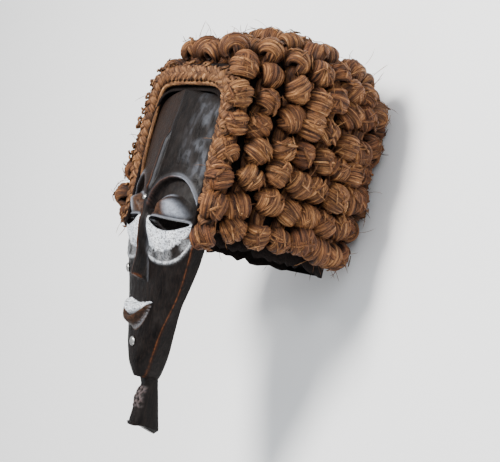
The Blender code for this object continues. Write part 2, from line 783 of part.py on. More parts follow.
def settle():
    """Stand everything on the floor with the middle of its box over the origin."""
    bpy.context.view_layer.update()
    depsgraph = bpy.context.evaluated_depsgraph_get()
    low = Vector((1e9, 1e9, 1e9))
    high = -low
    for obj in bpy.data.objects:
        if obj.type != "MESH" or obj.hide_render:
            continue
        done = obj.evaluated_get(depsgraph)
        for corner in done.to_mesh().vertices:
            p = obj.matrix_world @ corner.co
            low = Vector(map(min, low, p))
            high = Vector(map(max, high, p))
        done.to_mesh_clear()
    move = Vector((-(low.x + high.x) / 2, -(low.y + high.y) / 2, -low.z))
    root = bpy.data.objects.new("mask_frame", None)
    bpy.context.scene.collection.objects.link(root)
    root.location = move
    for obj in bpy.data.objects:
        if obj is not root:
            obj.parent = root


build()
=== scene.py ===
"""Looks of the carved mask with its wig of knotted raffia, lying on the back of the wig."""
import math
import random

import bpy
import numpy as np
from mathutils import Matrix, Vector


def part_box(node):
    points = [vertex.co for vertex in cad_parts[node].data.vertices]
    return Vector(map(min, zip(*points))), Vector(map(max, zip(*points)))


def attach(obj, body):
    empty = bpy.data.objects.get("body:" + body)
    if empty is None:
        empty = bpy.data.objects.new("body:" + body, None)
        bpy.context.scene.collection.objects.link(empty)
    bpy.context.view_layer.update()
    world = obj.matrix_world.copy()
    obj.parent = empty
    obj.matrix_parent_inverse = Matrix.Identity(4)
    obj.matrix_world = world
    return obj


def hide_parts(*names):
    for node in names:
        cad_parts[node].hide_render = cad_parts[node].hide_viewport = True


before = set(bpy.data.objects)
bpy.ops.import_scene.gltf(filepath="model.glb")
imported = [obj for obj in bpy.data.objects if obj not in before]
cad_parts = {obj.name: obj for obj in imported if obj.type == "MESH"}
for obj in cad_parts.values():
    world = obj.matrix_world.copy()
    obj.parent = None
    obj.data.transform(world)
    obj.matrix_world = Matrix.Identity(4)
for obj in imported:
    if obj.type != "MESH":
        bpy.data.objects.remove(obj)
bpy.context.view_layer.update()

RNG = random.Random(7)

# Sizes shared with the solids, in metres around the bridge of the nose
GAP = 0.0003

# Carved face, measured from the bridge of the nose
FACE_TOP = 0.131
CHIN_REACH = 0.192
FACE_HALF_WIDTH = 0.078
WALL = 0.009
CROSS_CURVE = 2.8
KEEL_CURVE = 1.6
KEEL_START = 0.005
KEEL_FULL = 0.035
HOLLOW_END = 0.046

# Half width of the face as a share of the widest, by distance from the chin tip
OUTLINE = ((0.0, 0.10), (0.003, 0.16), (0.012, 0.25), (0.025, 0.345), (0.056, 0.515), (0.094, 0.755),
           (0.138, 0.945), (0.175, 0.995), (0.215, 1.0), (0.252, 1.0))
# Height of the middle line against the bridge
PROFILE = ((0.0, -0.0395), (0.016, -0.0315), (0.040, -0.0268), (0.091, -0.0215), (0.134, -0.014),
           (0.192, -0.001), (0.256, -0.0050), (0.323, -0.0125))
# Height of the front edge and of the flat back rim
EDGE = ((0.0, -0.0485), (0.025, -0.042), (0.056, -0.038), (0.094, -0.0365), (0.138, -0.031),
        (0.192, -0.028), (0.256, -0.025), (0.323, -0.0265))
RIM = ((0.0, -0.0645), (0.034, -0.059), (0.056, -0.054), (0.092, -0.046), (0.192, -0.045), (0.323, -0.050))

# Eyes and brows, on each side of the middle line
EYE_X = 0.519 * FACE_HALF_WIDTH
EYE_Y = -0.0150
BROW_RX = 0.481 * FACE_HALF_WIDTH
BROW_RY = 0.0460
BROW_HEIGHT = 0.0032
BROW_FLAT = 0.0024
BROW_FALL = 0.0095
SOCKET_DEPTH = 0.0066
LID_RX = 0.378 * FACE_HALF_WIDTH
LID_RY = 0.0255
LID_HEIGHT = 0.0052
LID_START = 0.0040
SLIT_HALF = 0.365 * FACE_HALF_WIDTH
SLIT_SHIFT = 0.002
SLIT_HEIGHT = 0.0124
SLIT_DROP = 0.0030
SLIT_SAG = 0.0050
CHEEK_RX = 0.474 * FACE_HALF_WIDTH
CHEEK_RY = 0.0375
CHEEK_SKEW = 0.33
CHEEK_HEIGHT = 0.0045
BAG_RX = 0.487 * FACE_HALF_WIDTH
BAG_RY = 0.0495
BAG_SKEW = 0.10
BAG_POWER = 2.6
BAG_HALF = 0.0034
BAG_HEIGHT = 0.0022

# Nose, lips and forehead rib
NOSE_START = 0.012
NOSE_END = -0.0835
NOSE_HALF = 0.0125
NOSE_HEIGHT = 0.0135
MOUTH_Y = -0.1270
MOUTH_HALF = 0.0265
MOUTH_RISE = 0.0170
LIP_HALF = 0.0125
LIP_HEIGHT = 0.0140
RIB_START = 0.012
RIB_END = 0.085
RIB_HALF = 0.0042
RIB_HEIGHT = 0.0038
RIB_POINT = 0.016

# Post under the chin, leaning as the lower face does
POST_LEAN = math.radians(16.6)
POST_SINK = 0.008
POST_REST = 0.0085
POST_START = CHIN_REACH - POST_SINK
POST_Z = RIM[0][1] + POST_REST
POST_LENGTH = 0.071
POST_WIDTH = 0.021
POST_DEPTH = 0.018
POST_FOOT_DEPTH = 0.034
POST_FOOT_SLANT = 0.016
POST_RELIEF = 0.0016
POST_PANEL = (0.20, 0.56)

# Domed metal tacks: place, radius of the head and its height
TACKS = (("tack_bridge", 0.0, 0.0030, 0.0034, 0.0018),
         ("tack_cheek", -0.654 * FACE_HALF_WIDTH, -0.0760, 0.0054, 0.0026),
         ("tack_chin", 0.0, -0.1550, 0.0054, 0.0026))

# Wig: the inside of its net lining is the driving form
LINING = 0.0025
KNOT_BED = 0.0140
KNOT_RADIUS = 0.0182
KNOT_PITCH = 0.0315
REST_FLAT = 0.68
COURSE_PITCH = 0.0270
FIRST_COURSE = -0.0400
HOOD_FRONT = -0.0200
HOOD_REAR = -0.2195
HOOD_LIP = 0.0065
HOOD_FLARE = 0.0330
HOOD_SWELL = 0.0085
CROWN_SWELL = 0.0270
HOOD_CORNER = 0.0550
CORNER_DROP = 0.45
HOOD_SHOULDER = 0.0600
ARCH_POWER = 5.0
RIM_Y = -0.0060
FRONT_SAG = 0.018
FRINGE_Y = -0.0340
# Distance from the lining's inside to the middles of the knots, and the plane that the mask rests on
KNOT_SEAT = GAP + LINING + GAP + KNOT_BED
FLOOR = HOOD_REAR - KNOT_SEAT - KNOT_RADIUS * REST_FLAT

# Braid along the front of the wig
BRAID_OFFSET = 0.0112
BRAID_LIFT = -0.0165
BRAID_CROWN = 0.0200
BRAID_END_Y = -0.0270
BRAID_SINK = 0.0060
BRAID_BEND = 0.0050
STRAND_WIDTH = 0.0108
STRAND_THICK = 0.0068
STRAND_SWING = 0.0056
STRAND_RISE = 0.0034
HEM_WIDTH = 0.0060
HEM_THICK = 0.0046
HEM_INSET = 0.0102
HEM_DROP = 0.0010

# Knots: reach of their bundles in millimetres, and how far one strays and leans from its place
KNOT_REACH = 17.3
KNOT_STRAY = 0.0036
KNOT_LEAN = 0.20
TIE_WIDTH = 0.017
TIE_THICK = 0.013
TIE_SAG = 0.006
TIE_SINK = 0.004

# Where the bridge of the nose lies in the frame
PLACE = Vector((0.0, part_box("carved_face")[1][1] - FACE_TOP, -FLOOR))

# Camera, from the photograph: its turn round the upright mask, its height and its distance
MASK_TILT = math.radians(16.6)
VIEW_TURN = math.radians(60.0)
VIEW_RISE = math.radians(5.0)
VIEW_DISTANCE = 1.9
SENSOR_WIDTH = 36.0
METRES_PER_PIXEL = 0.00111
IMAGE_SIZE = (500, 462)
BRIDGE_PIXEL = (147.0, 200.0)

# Floor, and the strengths of the lights
FLOOR_HALF = 4.0
KEY_POWER = 84.0
SIDE_POWER = 20.0
LOW_POWER = 8.0
SKY_STRENGTH = 0.70

# Loose fibres: how many, and how far they reach past the solids sideways and over the crown
STRIP_COUNT = 1050
STRIP_THICK = 0.0007
CURL_COUNT = 74
CURL_THICK = 0.0022
STRAY_SPAN = 0.0050
STRAY_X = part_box("raffia_knots")[1][0] + STRAY_SPAN
STRAY_Y = FACE_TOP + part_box("raffia_knots")[1][1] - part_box("carved_face")[1][1] + STRAY_SPAN


def between(stations, at):
    """Smooth values through a short row of stations."""
    xs = np.array([s[0] for s in stations])
    ys = np.array([s[1] for s in stations])
    slopes = np.diff(ys) / np.diff(xs)
    m = np.zeros(len(xs))
    m[0] = slopes[0]
    m[-1] = slopes[-1]
    for k in range(1, len(xs) - 1):
        a, b = slopes[k - 1], slopes[k]
        m[k] = 0.0 if a * b <= 0 else 2 * a * b / (a + b)
    at = np.clip(np.asarray(at, float), xs[0], xs[-1])
    k = np.clip(np.searchsorted(xs, at, side="right") - 1, 0, len(xs) - 2)
    h = xs[k + 1] - xs[k]
    t = (at - xs[k]) / h
    return ((2 * t ** 3 - 3 * t ** 2 + 1) * ys[k] + (t ** 3 - 2 * t ** 2 + t) * h * m[k]
            + (3 * t ** 2 - 2 * t ** 3) * ys[k + 1] + (t ** 3 - t ** 2) * h * m[k + 1])


def step(low, high, value):
    """Smooth rise from 0 at low to 1 at high; a fall where low is the larger."""
    t = np.clip((np.asarray(value, float) - low) / (high - low), 0.0, 1.0)
    return t * t * (3 - 2 * t)


def bell(distance, half):
    return np.exp(-(np.asarray(distance, float) / half) ** 2)


def unit(vectors):
    """Vectors along the last axis, made one long."""
    return vectors / np.linalg.norm(vectors, axis=-1, keepdims=True)


def squared_circle(angle, across, along):
    """Cosine and sine pushed towards a square by powers under one."""
    c = np.cos(angle)
    s = np.sin(angle)
    return np.copysign(np.abs(c) ** across, c), np.copysign(np.abs(s) ** along, s)


def random_vector():
    """Vector with each part drawn between -1 and 1."""
    return Vector([RNG.uniform(-1, 1) for _ in range(3)])


def hashed(i, j, seed):
    """Repeatable value from 0 to 1 for each whole cell."""
    v = np.sin(i * 127.1 + j * 311.7 + seed * 74.7) * 43758.5453
    return v - np.floor(v)


def soft_noise(x, y, seed):
    """Smooth value noise over unit cells."""
    i = np.floor(x)
    j = np.floor(y)
    u = x - i
    v = y - j
    u = u * u * (3 - 2 * u)
    v = v * v * (3 - 2 * v)
    low = hashed(i, j, seed) * (1 - u) + hashed(i + 1, j, seed) * u
    high = hashed(i, j + 1, seed) * (1 - u) + hashed(i + 1, j + 1, seed) * u
    return low * (1 - v) + high * v


def scoops(x, y, seed):
    """Squared distance to the nearest of scattered middles: shallow scoops that meet in ridges."""
    i = np.floor(x)
    j = np.floor(y)
    best = np.full(np.shape(x), 9.0)
    for di in (-1, 0, 1):
        for dj in (-1, 0, 1):
            cx = i + di + 0.15 + 0.7 * hashed(i + di, j + dj, seed)
            cy = j + dj + 0.15 + 0.7 * hashed(i + di, j + dj, seed + 5)
            best = np.minimum(best, (x - cx) ** 2 + (y - cy) ** 2)
    return best


def face_half_width(y):
    y = np.asarray(y, float)
    low = between(OUTLINE, y + CHIN_REACH)
    share = np.clip((y - HOOD_SHOULDER) / (FACE_TOP - HOOD_SHOULDER), 0.0, 0.998)
    return FACE_HALF_WIDTH * np.where(y <= HOOD_SHOULDER, low, (1 - share ** ARCH_POWER) ** (1 / ARCH_POWER))


def face_base(x, y):
    middle = between(PROFILE, y + CHIN_REACH)
    edge = between(EDGE, y + CHIN_REACH)
    share = np.clip(np.abs(x) / face_half_width(y), 0.0, 1.0)
    power = CROSS_CURVE + (KEEL_CURVE - CROSS_CURVE) * step(KEEL_START, KEEL_FULL, y)
    return middle - (middle - edge) * share ** power


def eye_rings(ax, y):
    """Distance outside the brow line, and how far out a place lies in the lid, cheek and bag."""
    dx = ax - EYE_X
    dy = y - EYE_Y
    brow = (np.hypot(dx / BROW_RX, dy / BROW_RY) - 1) * BROW_RX
    lid = np.hypot(dx / LID_RX, dy / LID_RY)
    cheek = np.hypot((dx - CHEEK_SKEW * dy) / CHEEK_RX, dy / CHEEK_RY)
    bag_across = np.abs((dx - BAG_SKEW * dy) / BAG_RX)
    bag = (bag_across ** BAG_POWER + np.abs(dy / BAG_RY) ** BAG_POWER) ** (1 / BAG_POWER)
    return brow, lid, cheek, bag, dy


def eye_relief(ax, y):
    """Brow arch, socket, lid, cheek crescent and the fold under it."""
    brow, lid, cheek, bag, dy = eye_rings(ax, y)
    upper = step(0.0, 2 * LID_START, dy)
    lower = step(0.001, -0.006, dy)
    height = BROW_HEIGHT * step(BROW_FLAT + BROW_FALL, BROW_FLAT, brow) * step(LID_START, 5 * LID_START, dy)
    height = height - (SOCKET_DEPTH + BROW_HEIGHT) * step(0.0, -BROW_FLAT, brow) * upper
    height = height + (LID_HEIGHT + SOCKET_DEPTH) * upper * (1 - step(0.62, 1.06, lid))
    height = height + CHEEK_HEIGHT * lower * (1 - step(0.72, 1.02, cheek))
    height = height + BAG_HEIGHT * lower * bell((bag - 1) * BAG_RY, BAG_HALF)
    rim = bell((lid - 1.0) * LID_RX, 0.0011) * upper
    return height + 0.0008 * rim


def nose_places(y):
    """How far down the nose a place is, and half the width of the nose there."""
    along = (NOSE_START - y) / (NOSE_START - NOSE_END)
    return along, NOSE_HALF * (0.30 + 0.70 * np.clip(along, 0.0, 1.0) ** 1.4)


def nose_relief(ax, y):
    along, half = nose_places(y)
    held = np.clip(along, 0.0, 1.0)
    height = NOSE_HEIGHT * (0.16 + 0.84 * held ** 1.25) * step(NOSE_END - 0.005, NOSE_END + 0.001, y)
    height = height * (1 - step(0.25, 1.10, ax / half)) * step(-0.02, 0.18, along)
    return np.where((y > NOSE_START) | (y < NOSE_END - 0.006), 0.0, height)


def lip_places(ax, y):
    share = np.clip(ax / MOUTH_HALF, 0.0, 1.0)
    middle = MOUTH_Y + MOUTH_RISE * share ** 2
    half = LIP_HALF * (1 - share ** 2) ** 0.75 + 0.0005
    return share, (y - middle) / half


def lip_relief(ax, y):
    share, across = lip_places(ax, y)
    body = LIP_HEIGHT * (1 - share ** 2) ** 0.5 * (1 - step(0.45, 1.2, np.abs(across)))
    height = body - 0.35 * LIP_HEIGHT * bell(across, 0.16) * (1 - share ** 2)
    return np.where((share >= 1) | (np.abs(across) >= 1.25), 0.0, height)


def rib_relief(ax, y):
    end = step(RIB_END, RIB_END - RIB_POINT, y) * step(RIB_START - RIB_HALF, RIB_START + RIB_HALF, y)
    half = RIB_HALF * (0.25 + 0.75 * step(RIB_END, RIB_END - RIB_POINT, y))
    return RIB_HEIGHT * end * (1 - step(0.62, 1.08, ax / half))


def tool_marks(x, y):
    """Shallow adze facets and a faint grain in the wood."""
    facets = scoops(x / 0.0095 + 3.0, y / 0.0150, 3)
    fine = soft_noise(x / 0.0007, y / 0.009, 11) - 0.5
    chips = step(0.80, 0.92, soft_noise(x / 0.0028, y / 0.0036, 19))
    return 0.00055 * (facets - 0.35) + 0.00010 * fine - 0.00022 * chips


def face_height(x, y):
    ax = np.abs(x)
    carved = eye_relief(ax, y) + nose_relief(ax, y) + lip_relief(ax, y) + rib_relief(ax, y)
    inner = 1 - step(0.955, 1.0, ax / face_half_width(y))
    return face_base(x, y) + (carved + tool_marks(x, y)) * inner


def slit_bounds(ax):
    """Lower and upper edge of the eye slit, and how far along it a place is."""
    t = (ax - EYE_X - SLIT_SHIFT) / SLIT_HALF
    held = np.clip(1 - t * t, 0.0, 1.0)
    middle = EYE_Y - SLIT_DROP - SLIT_SAG * held
    half = 0.5 * SLIT_HEIGHT * held ** 0.6
    return middle - half, middle + half, np.abs(t)


def make_object(name, verts, faces, material, uvs=None, **values):
    """Mesh object from arrays; values become point attributes that the materials read."""
    mesh = bpy.data.meshes.new(name)
    verts = np.asarray(verts, dtype=np.float32)
    faces = np.asarray(faces, dtype=np.int32)
    count, sides = faces.shape
    mesh.vertices.add(len(verts))
    mesh.vertices.foreach_set("co", verts.ravel())
    mesh.loops.add(count * sides)
    mesh.loops.foreach_set("vertex_index", faces.ravel())
    mesh.polygons.add(count)
    mesh.polygons.foreach_set("loop_start", np.arange(0, count * sides, sides, dtype=np.int32))
    mesh.polygons.foreach_set("loop_total", np.full(count, sides, dtype=np.int32))
    mesh.update(calc_edges=True)
    if uvs is not None:
        layer = mesh.uv_layers.new(name="UVMap")
        layer.data.foreach_set("uv", np.asarray(uvs, dtype=np.float32)[faces.ravel()].ravel())
    for key, value in values.items():
        attribute = mesh.attributes.new(key, "FLOAT", "POINT")
        attribute.data.foreach_set("value", np.asarray(value, dtype=np.float32))
    mesh.materials.append(material)
    mesh.shade_smooth()
    mesh.validate()
    obj = bpy.data.objects.new(name, mesh)
    bpy.context.scene.collection.objects.link(obj)
    obj.location = PLACE
    return obj


def grid_faces(rows, columns, wrap):
    """Quads of a grid of rows by columns; wrap joins the last column to the first."""
    r = np.arange(rows - 1)[:, None]
    c = np.arange(columns if wrap else columns - 1)[None, :]
    n = (c + 1) % columns
    corners = [r * columns + c, r * columns + n, (r + 1) * columns + n, (r + 1) * columns + c]
    return np.stack(corners, -1).reshape(-1, 4)


def closed_faces(rows, around, turned=False):
    """Faces of a tube with both ends shut; turned swaps the way that the ends face."""
    faces = list(grid_faces(rows, around, True))
    for base, flip in ((0, False), ((rows - 1) * around, True)):
        for k in range(1, around // 2):
            quad = (base + k - 1, base + k, base + around - k - 1, base + (around - k) % around)
            faces.append(quad[::-1] if flip != turned else quad)
    return np.array(faces)


class Nodes:
    """Short way to write a material's nodes; a ramp's colour may be one grey number."""

    def __init__(self, name):
        self.material = bpy.data.materials.new(name)
        self.material.use_nodes = True
        self.tree = self.material.node_tree
        self.shader = self.tree.nodes["Principled BSDF"]

    def add(self, kind, **inputs):
        node = self.tree.nodes.new(kind)
        for key, value in inputs.items():
            if hasattr(node, key) and key not in node.inputs:
                setattr(node, key, value)
            else:
                self.feed(node, key, value)
        return node

    def feed(self, node, key, value):
        socket = node.inputs[key]
        if isinstance(value, bpy.types.NodeSocket):
            self.tree.links.new(value, socket)
        else:
            socket.default_value = value

    def value(self, name):
        return self.add("ShaderNodeAttribute", attribute_name=name).outputs["Fac"]

    def places(self, kind="Object"):
        return self.add("ShaderNodeTexCoord").outputs[kind]

    def blend(self, a, share, b):
        """Share of a with the rest of b."""
        return self.math("ADD", self.math("MULTIPLY", a, share), self.math("MULTIPLY", b, 1 - share))

    def math(self, operation, a, b):
        node = self.tree.nodes.new("ShaderNodeMath")
        node.operation = operation
        self.feed(node, 0, a)
        self.feed(node, 1, b)
        return node.outputs[0]

    def mix(self, factor, a, b, blend="MIX"):
        node = self.tree.nodes.new("ShaderNodeMix")
        node.data_type = "RGBA"
        node.blend_type = blend
        self.feed(node, 0, factor)
        self.feed(node, 6, a)
        self.feed(node, 7, b)
        return node.outputs[2]

    def ramp(self, factor, *stops):
        node = self.tree.nodes.new("ShaderNodeValToRGB")
        self.feed(node, "Fac", factor)
        elements = node.color_ramp.elements
        while len(elements) < len(stops):
            elements.new(0.5)
        for element, (position, colour) in zip(elements, stops):
            element.position = position
            rgb = (colour,) * 3 if isinstance(colour, float) else colour
            element.color = (*rgb, 1.0)
        return node.outputs["Color"]

    def noise(self, vector, scale, detail=4.0, roughness=0.6):
        node = self.add("ShaderNodeTexNoise", Vector=vector, Scale=scale, Detail=detail, Roughness=roughness)
        return node.outputs["Fac"]

    def stretched(self, source, scale):
        node = self.tree.nodes.new("ShaderNodeMapping")
        self.tree.links.new(source, node.inputs["Vector"])
        node.inputs["Scale"].default_value = scale
        return node.outputs["Vector"]

    def bump(self, height, strength, distance):
        node = self.add("ShaderNodeBump", Height=height, Strength=strength, Distance=distance)
        self.tree.links.new(node.outputs["Normal"], self.shader.inputs["Normal"])

    def set(self, **inputs):
        for key, value in inputs.items():
            self.feed(self.shader, key.replace("_", " "), value)
        return self.material


def fibre_material(name, dark, middle, light, glint):
    """Flat raffia fibres that run along the piece's U, tinted piece by piece and darkened by painted shade.
    """
    n = Nodes(name)
    uv = n.places("UV")
    fine = n.noise(n.stretched(uv, (34.0, 2700.0, 1.0)), 1.0, 5.0, 0.7)
    broad = n.noise(n.stretched(uv, (24.0, 620.0, 1.0)), 1.0, 3.0, 0.6)
    patch = n.noise(n.stretched(uv, (70.0, 110.0, 1.0)), 1.0, 4.0, 0.65)
    flake = n.noise(n.stretched(uv, (260.0, 900.0, 1.0)), 1.0, 4.0, 0.7)
    streak = n.blend(fine, 0.5, broad)
    colour = n.ramp(streak, (0.39, dark), (0.48, middle), (0.58, light), (0.68, glint))
    patches = n.ramp(patch, (0.32, (0.50, 0.46, 0.44)), (0.50, (0.95, 0.93, 0.92)),
                     (0.68, (1.40, 1.42, 1.45)))
    flakes = n.ramp(flake, (0.36, (0.60, 0.58, 0.56)), (0.60, 1.20))
    # Tint: random tone per piece; on the knots it also carries painted shade on the rear and lower knots
    tint = n.ramp(n.value("tint"), (0.0, (0.52, 0.36, 0.30)), (0.5, (0.95, 0.90, 0.86)),
                  (1.0, (1.40, 1.50, 1.55)))
    # Depth is painted shade: low values darken the colour almost to black
    depth = n.ramp(n.value("depth"), (0.0, (0.04, 0.03, 0.03)), (0.45, (0.34, 0.30, 0.28)), (0.95, 1.0))
    for shade in (patches, flakes, tint, depth):
        colour = n.mix(1.0, colour, shade, "MULTIPLY")
    rough = n.ramp(streak, (0.40, 0.75), (0.65, 0.46))
    n.bump(n.math("ADD", streak, n.math("MULTIPLY", flake, 0.4)), 1.0, 0.0016)
    return n.set(Base_Color=colour, Roughness=rough, Specular_IOR_Level=0.25)


def wood_material():
    """Near-black stained wood, worn brown on its edges, with rubbed white pigment and painted bluish-grey
    highlights and sheen.
    """
    n = Nodes("dark_stained_wood")
    where = n.places()
    grain = n.noise(n.stretched(where, (560.0, 48.0, 560.0)), 1.0, 6.0, 0.65)
    blotch = n.noise(n.stretched(where, (70.0, 34.0, 70.0)), 1.0, 5.0, 0.6)
    speck = n.noise(where, 560.0, 5.0, 0.75)
    crumbs = n.noise(where, 230.0, 5.0, 0.75)
    base = n.ramp(blotch, (0.32, (0.0020, 0.0016, 0.0017)), (0.56, (0.0060, 0.0047, 0.0044)),
                  (0.76, (0.016, 0.0135, 0.0130)))
    base = n.mix(n.ramp(grain, (0.46, 0.0), (0.76, 0.8)), base, (0.017, 0.0115, 0.0095, 1.0))
    broken = n.ramp(crumbs, (0.40, 0.25), (0.56, 1.0))
    base = n.mix(n.math("MULTIPLY", n.value("brown"), broken), base, (0.075, 0.036, 0.020, 1.0))
    # Bluish grey painted highlights and sheen where the grey value is set, mottled
    sheen_mottle = n.ramp(n.blend(crumbs, 0.6, speck), (0.36, 0.45), (0.60, 1.0))
    base = n.mix(n.math("MULTIPLY", n.value("grey"), sheen_mottle), base, (0.40, 0.43, 0.50, 1.0))
    base = n.mix(n.math("MULTIPLY", n.value("worn"), broken), base, (0.150, 0.047, 0.015, 1.0))
    flakes = n.ramp(speck, (0.41, 0.0), (0.49, 1.0))
    cover = n.ramp(crumbs, (0.36, 0.25), (0.48, 1.0))
    white = n.math("MULTIPLY", n.value("white"), n.math("MULTIPLY", flakes, cover))
    chalk = n.ramp(blotch, (0.35, (0.56, 0.60, 0.66)), (0.60, (0.88, 0.90, 0.93)))
    base = n.mix(white, base, chalk)
    rough = n.ramp(n.blend(blotch, 0.55, crumbs), (0.40, 0.30), (0.60, 0.55))
    rough = n.mix(white, rough, (0.80, 0.80, 0.80, 1.0))
    n.bump(n.math("ADD", grain, n.math("MULTIPLY", crumbs, 0.8)), 0.5, 0.0008)
    return n.set(Base_Color=base, Roughness=rough, Specular_IOR_Level=0.08)


def metal_material():
    n = Nodes("domed_tack_metal")
    where = n.places()
    tarnish = n.noise(where, 700.0, 4.0, 0.6)
    colour = n.ramp(tarnish, (0.35, (0.20, 0.195, 0.185)), (0.60, (0.62, 0.61, 0.58)))
    rough = n.ramp(tarnish, (0.30, 0.45), (0.65, 0.26))
    n.bump(tarnish, 0.4, 0.0004)
    return n.set(Base_Color=colour, Roughness=rough, Metallic=1.0)


def net_material():
    n = Nodes("dark_net")
    where = n.places()
    fuzz = n.noise(where, 480.0, 5.0, 0.7)
    # Near black: a dark lining, made darker still as painted shade for the deep inside of the cap
    colour = n.ramp(fuzz, (0.35, (0.002, 0.0015, 0.0015)), (0.65, (0.012, 0.008, 0.007)))
    n.bump(fuzz, 0.8, 0.0010)
    return n.set(Base_Color=colour, Roughness=0.95, Specular_IOR_Level=0.1)


def floor_material():
    n = Nodes("pale_floor")
    where = n.places()
    cloud = n.noise(where, 1.5, 2.0, 0.5)
    colour = n.ramp(cloud, (0.3, 0.95), (0.7, 0.97))
    return n.set(Base_Color=colour, Roughness=0.85)


def carved_face(material, columns=150, rows=300):
    """Whole carving: front, walls, rim and hollow as one closed skin, with the slits cut through."""
    t = np.linspace(0.0, 1.0, rows)
    t = np.where(t < 0.8, t, 0.8 + 0.2 * np.sin(np.pi / 2 * (t - 0.8) / 0.2))
    y = -CHIN_REACH + (CHIN_REACH + FACE_TOP) * t
    w = face_half_width(y)
    share = np.sin(np.pi / 2 * np.linspace(-1, 1, columns + 1))
    share = 0.5 * share + 0.5 * np.linspace(-1, 1, columns + 1)
    front_x = w[:, None] * share[None, :]
    front_y = np.repeat(y[:, None], columns + 1, 1)
    low, high, t_slit = slit_bounds(np.abs(front_x))
    pitch = (CHIN_REACH + FACE_TOP) / rows
    near = (t_slit < 1.0) & (front_y > low - 0.5 * pitch) & (front_y < high + 0.5 * pitch)
    to_low = np.abs(front_y - low) < np.abs(front_y - high)
    edge = near & ((np.abs(front_y - low) < 0.6 * pitch) | (np.abs(front_y - high) < 0.6 * pitch))
    front_y = np.where(edge, np.where(to_low, low, high), front_y)
    front_z = face_height(front_x, front_y)
    rim = between(RIM, y + CHIN_REACH)
    start = -CHIN_REACH + HOLLOW_END
    hollow = step(start, start + 0.012, y) * step(FACE_TOP - WALL + 0.002, FACE_TOP - WALL - 0.010, y)
    squeeze = step(0.78, 1.0, np.abs(share))[None, :]
    back_x = front_x * (1 - WALL / w[:, None] * squeeze)
    back_z = face_base(front_x, front_y) - WALL - 0.0006 * scoops(front_x / 0.012, front_y / 0.016, 8)
    back_z = rim[:, None] + (np.maximum(back_z, rim[:, None]) - rim[:, None]) * hollow[:, None]
    walls = 6
    down = np.linspace(0, 1, walls + 1)[None, 1:]
    rim = rim[:, None]
    y_row = y[:, None]

    def wall(side, column):
        z_top = front_z[:, column][:, None]
        y_wall = np.repeat(y_row, walls, 1)
        z_wall = z_top + (rim - z_top) * down
        hollows = 0.0007 * np.sin(np.pi * down) * scoops(y_wall / 0.013, z_wall / 0.013, 31)
        return side * (w[:, None] - hollows), y_wall, z_wall

    rim_x = (w - 0.85 * np.minimum(WALL, 0.5 * w))[:, None]
    blocks = [(front_x, front_y, front_z), wall(1, -1), (rim_x, y_row, rim),
              (back_x[:, ::-1], front_y[:, ::-1], back_z[:, ::-1]), (-rim_x, y_row, rim),
              [part[:, ::-1] for part in wall(-1, 0)]]
    xs, ys, zs = (np.concatenate(block, 1) for block in zip(*blocks))
    ring = xs.shape[1]
    verts = np.stack([xs, ys, zs], -1).reshape(-1, 3)
    faces = closed_faces(rows, ring, turned=True)
    row_start = np.arange(rows)[:, None] * ring
    across = np.arange(columns + 1)[None, :]
    front_of = row_start + across
    back_of = row_start + 2 * columns + walls + 2 - across
    cx = 0.25 * (front_x[:-1, :-1] + front_x[1:, :-1] + front_x[:-1, 1:] + front_x[1:, 1:])
    cy = 0.25 * (front_y[:-1, :-1] + front_y[1:, :-1] + front_y[:-1, 1:] + front_y[1:, 1:])
    low, high, t_slit = slit_bounds(np.abs(cx))
    open_cell = (t_slit < 0.985) & (cy > low) & (cy < high)
    cells = list(zip(*np.nonzero(open_cell)))
    removed = set()
    slit_walls = []
    for a, b in cells:
        corners = ((a, b), (a, b + 1), (a + 1, b + 1), (a + 1, b))
        beside = ((a - 1, b), (a, b + 1), (a + 1, b), (a, b - 1))
        for skin in (front_of, back_of):
            removed.add(tuple(sorted(skin[corner] for corner in corners)))
        for k in range(4):
            if not open_cell[beside[k]]:
                p, q = corners[k], corners[(k + 1) % 4]
                slit_walls.append((front_of[p], back_of[p], back_of[q], front_of[q]))
    keep = [k for k, face in enumerate(faces) if tuple(sorted(face)) not in removed]
    faces = np.concatenate([faces[keep], np.array(slit_walls)], 0)
    paint = face_paint(xs, ys, columns + 1)
    return make_object("carved_face_carving", verts, faces, material, **paint)


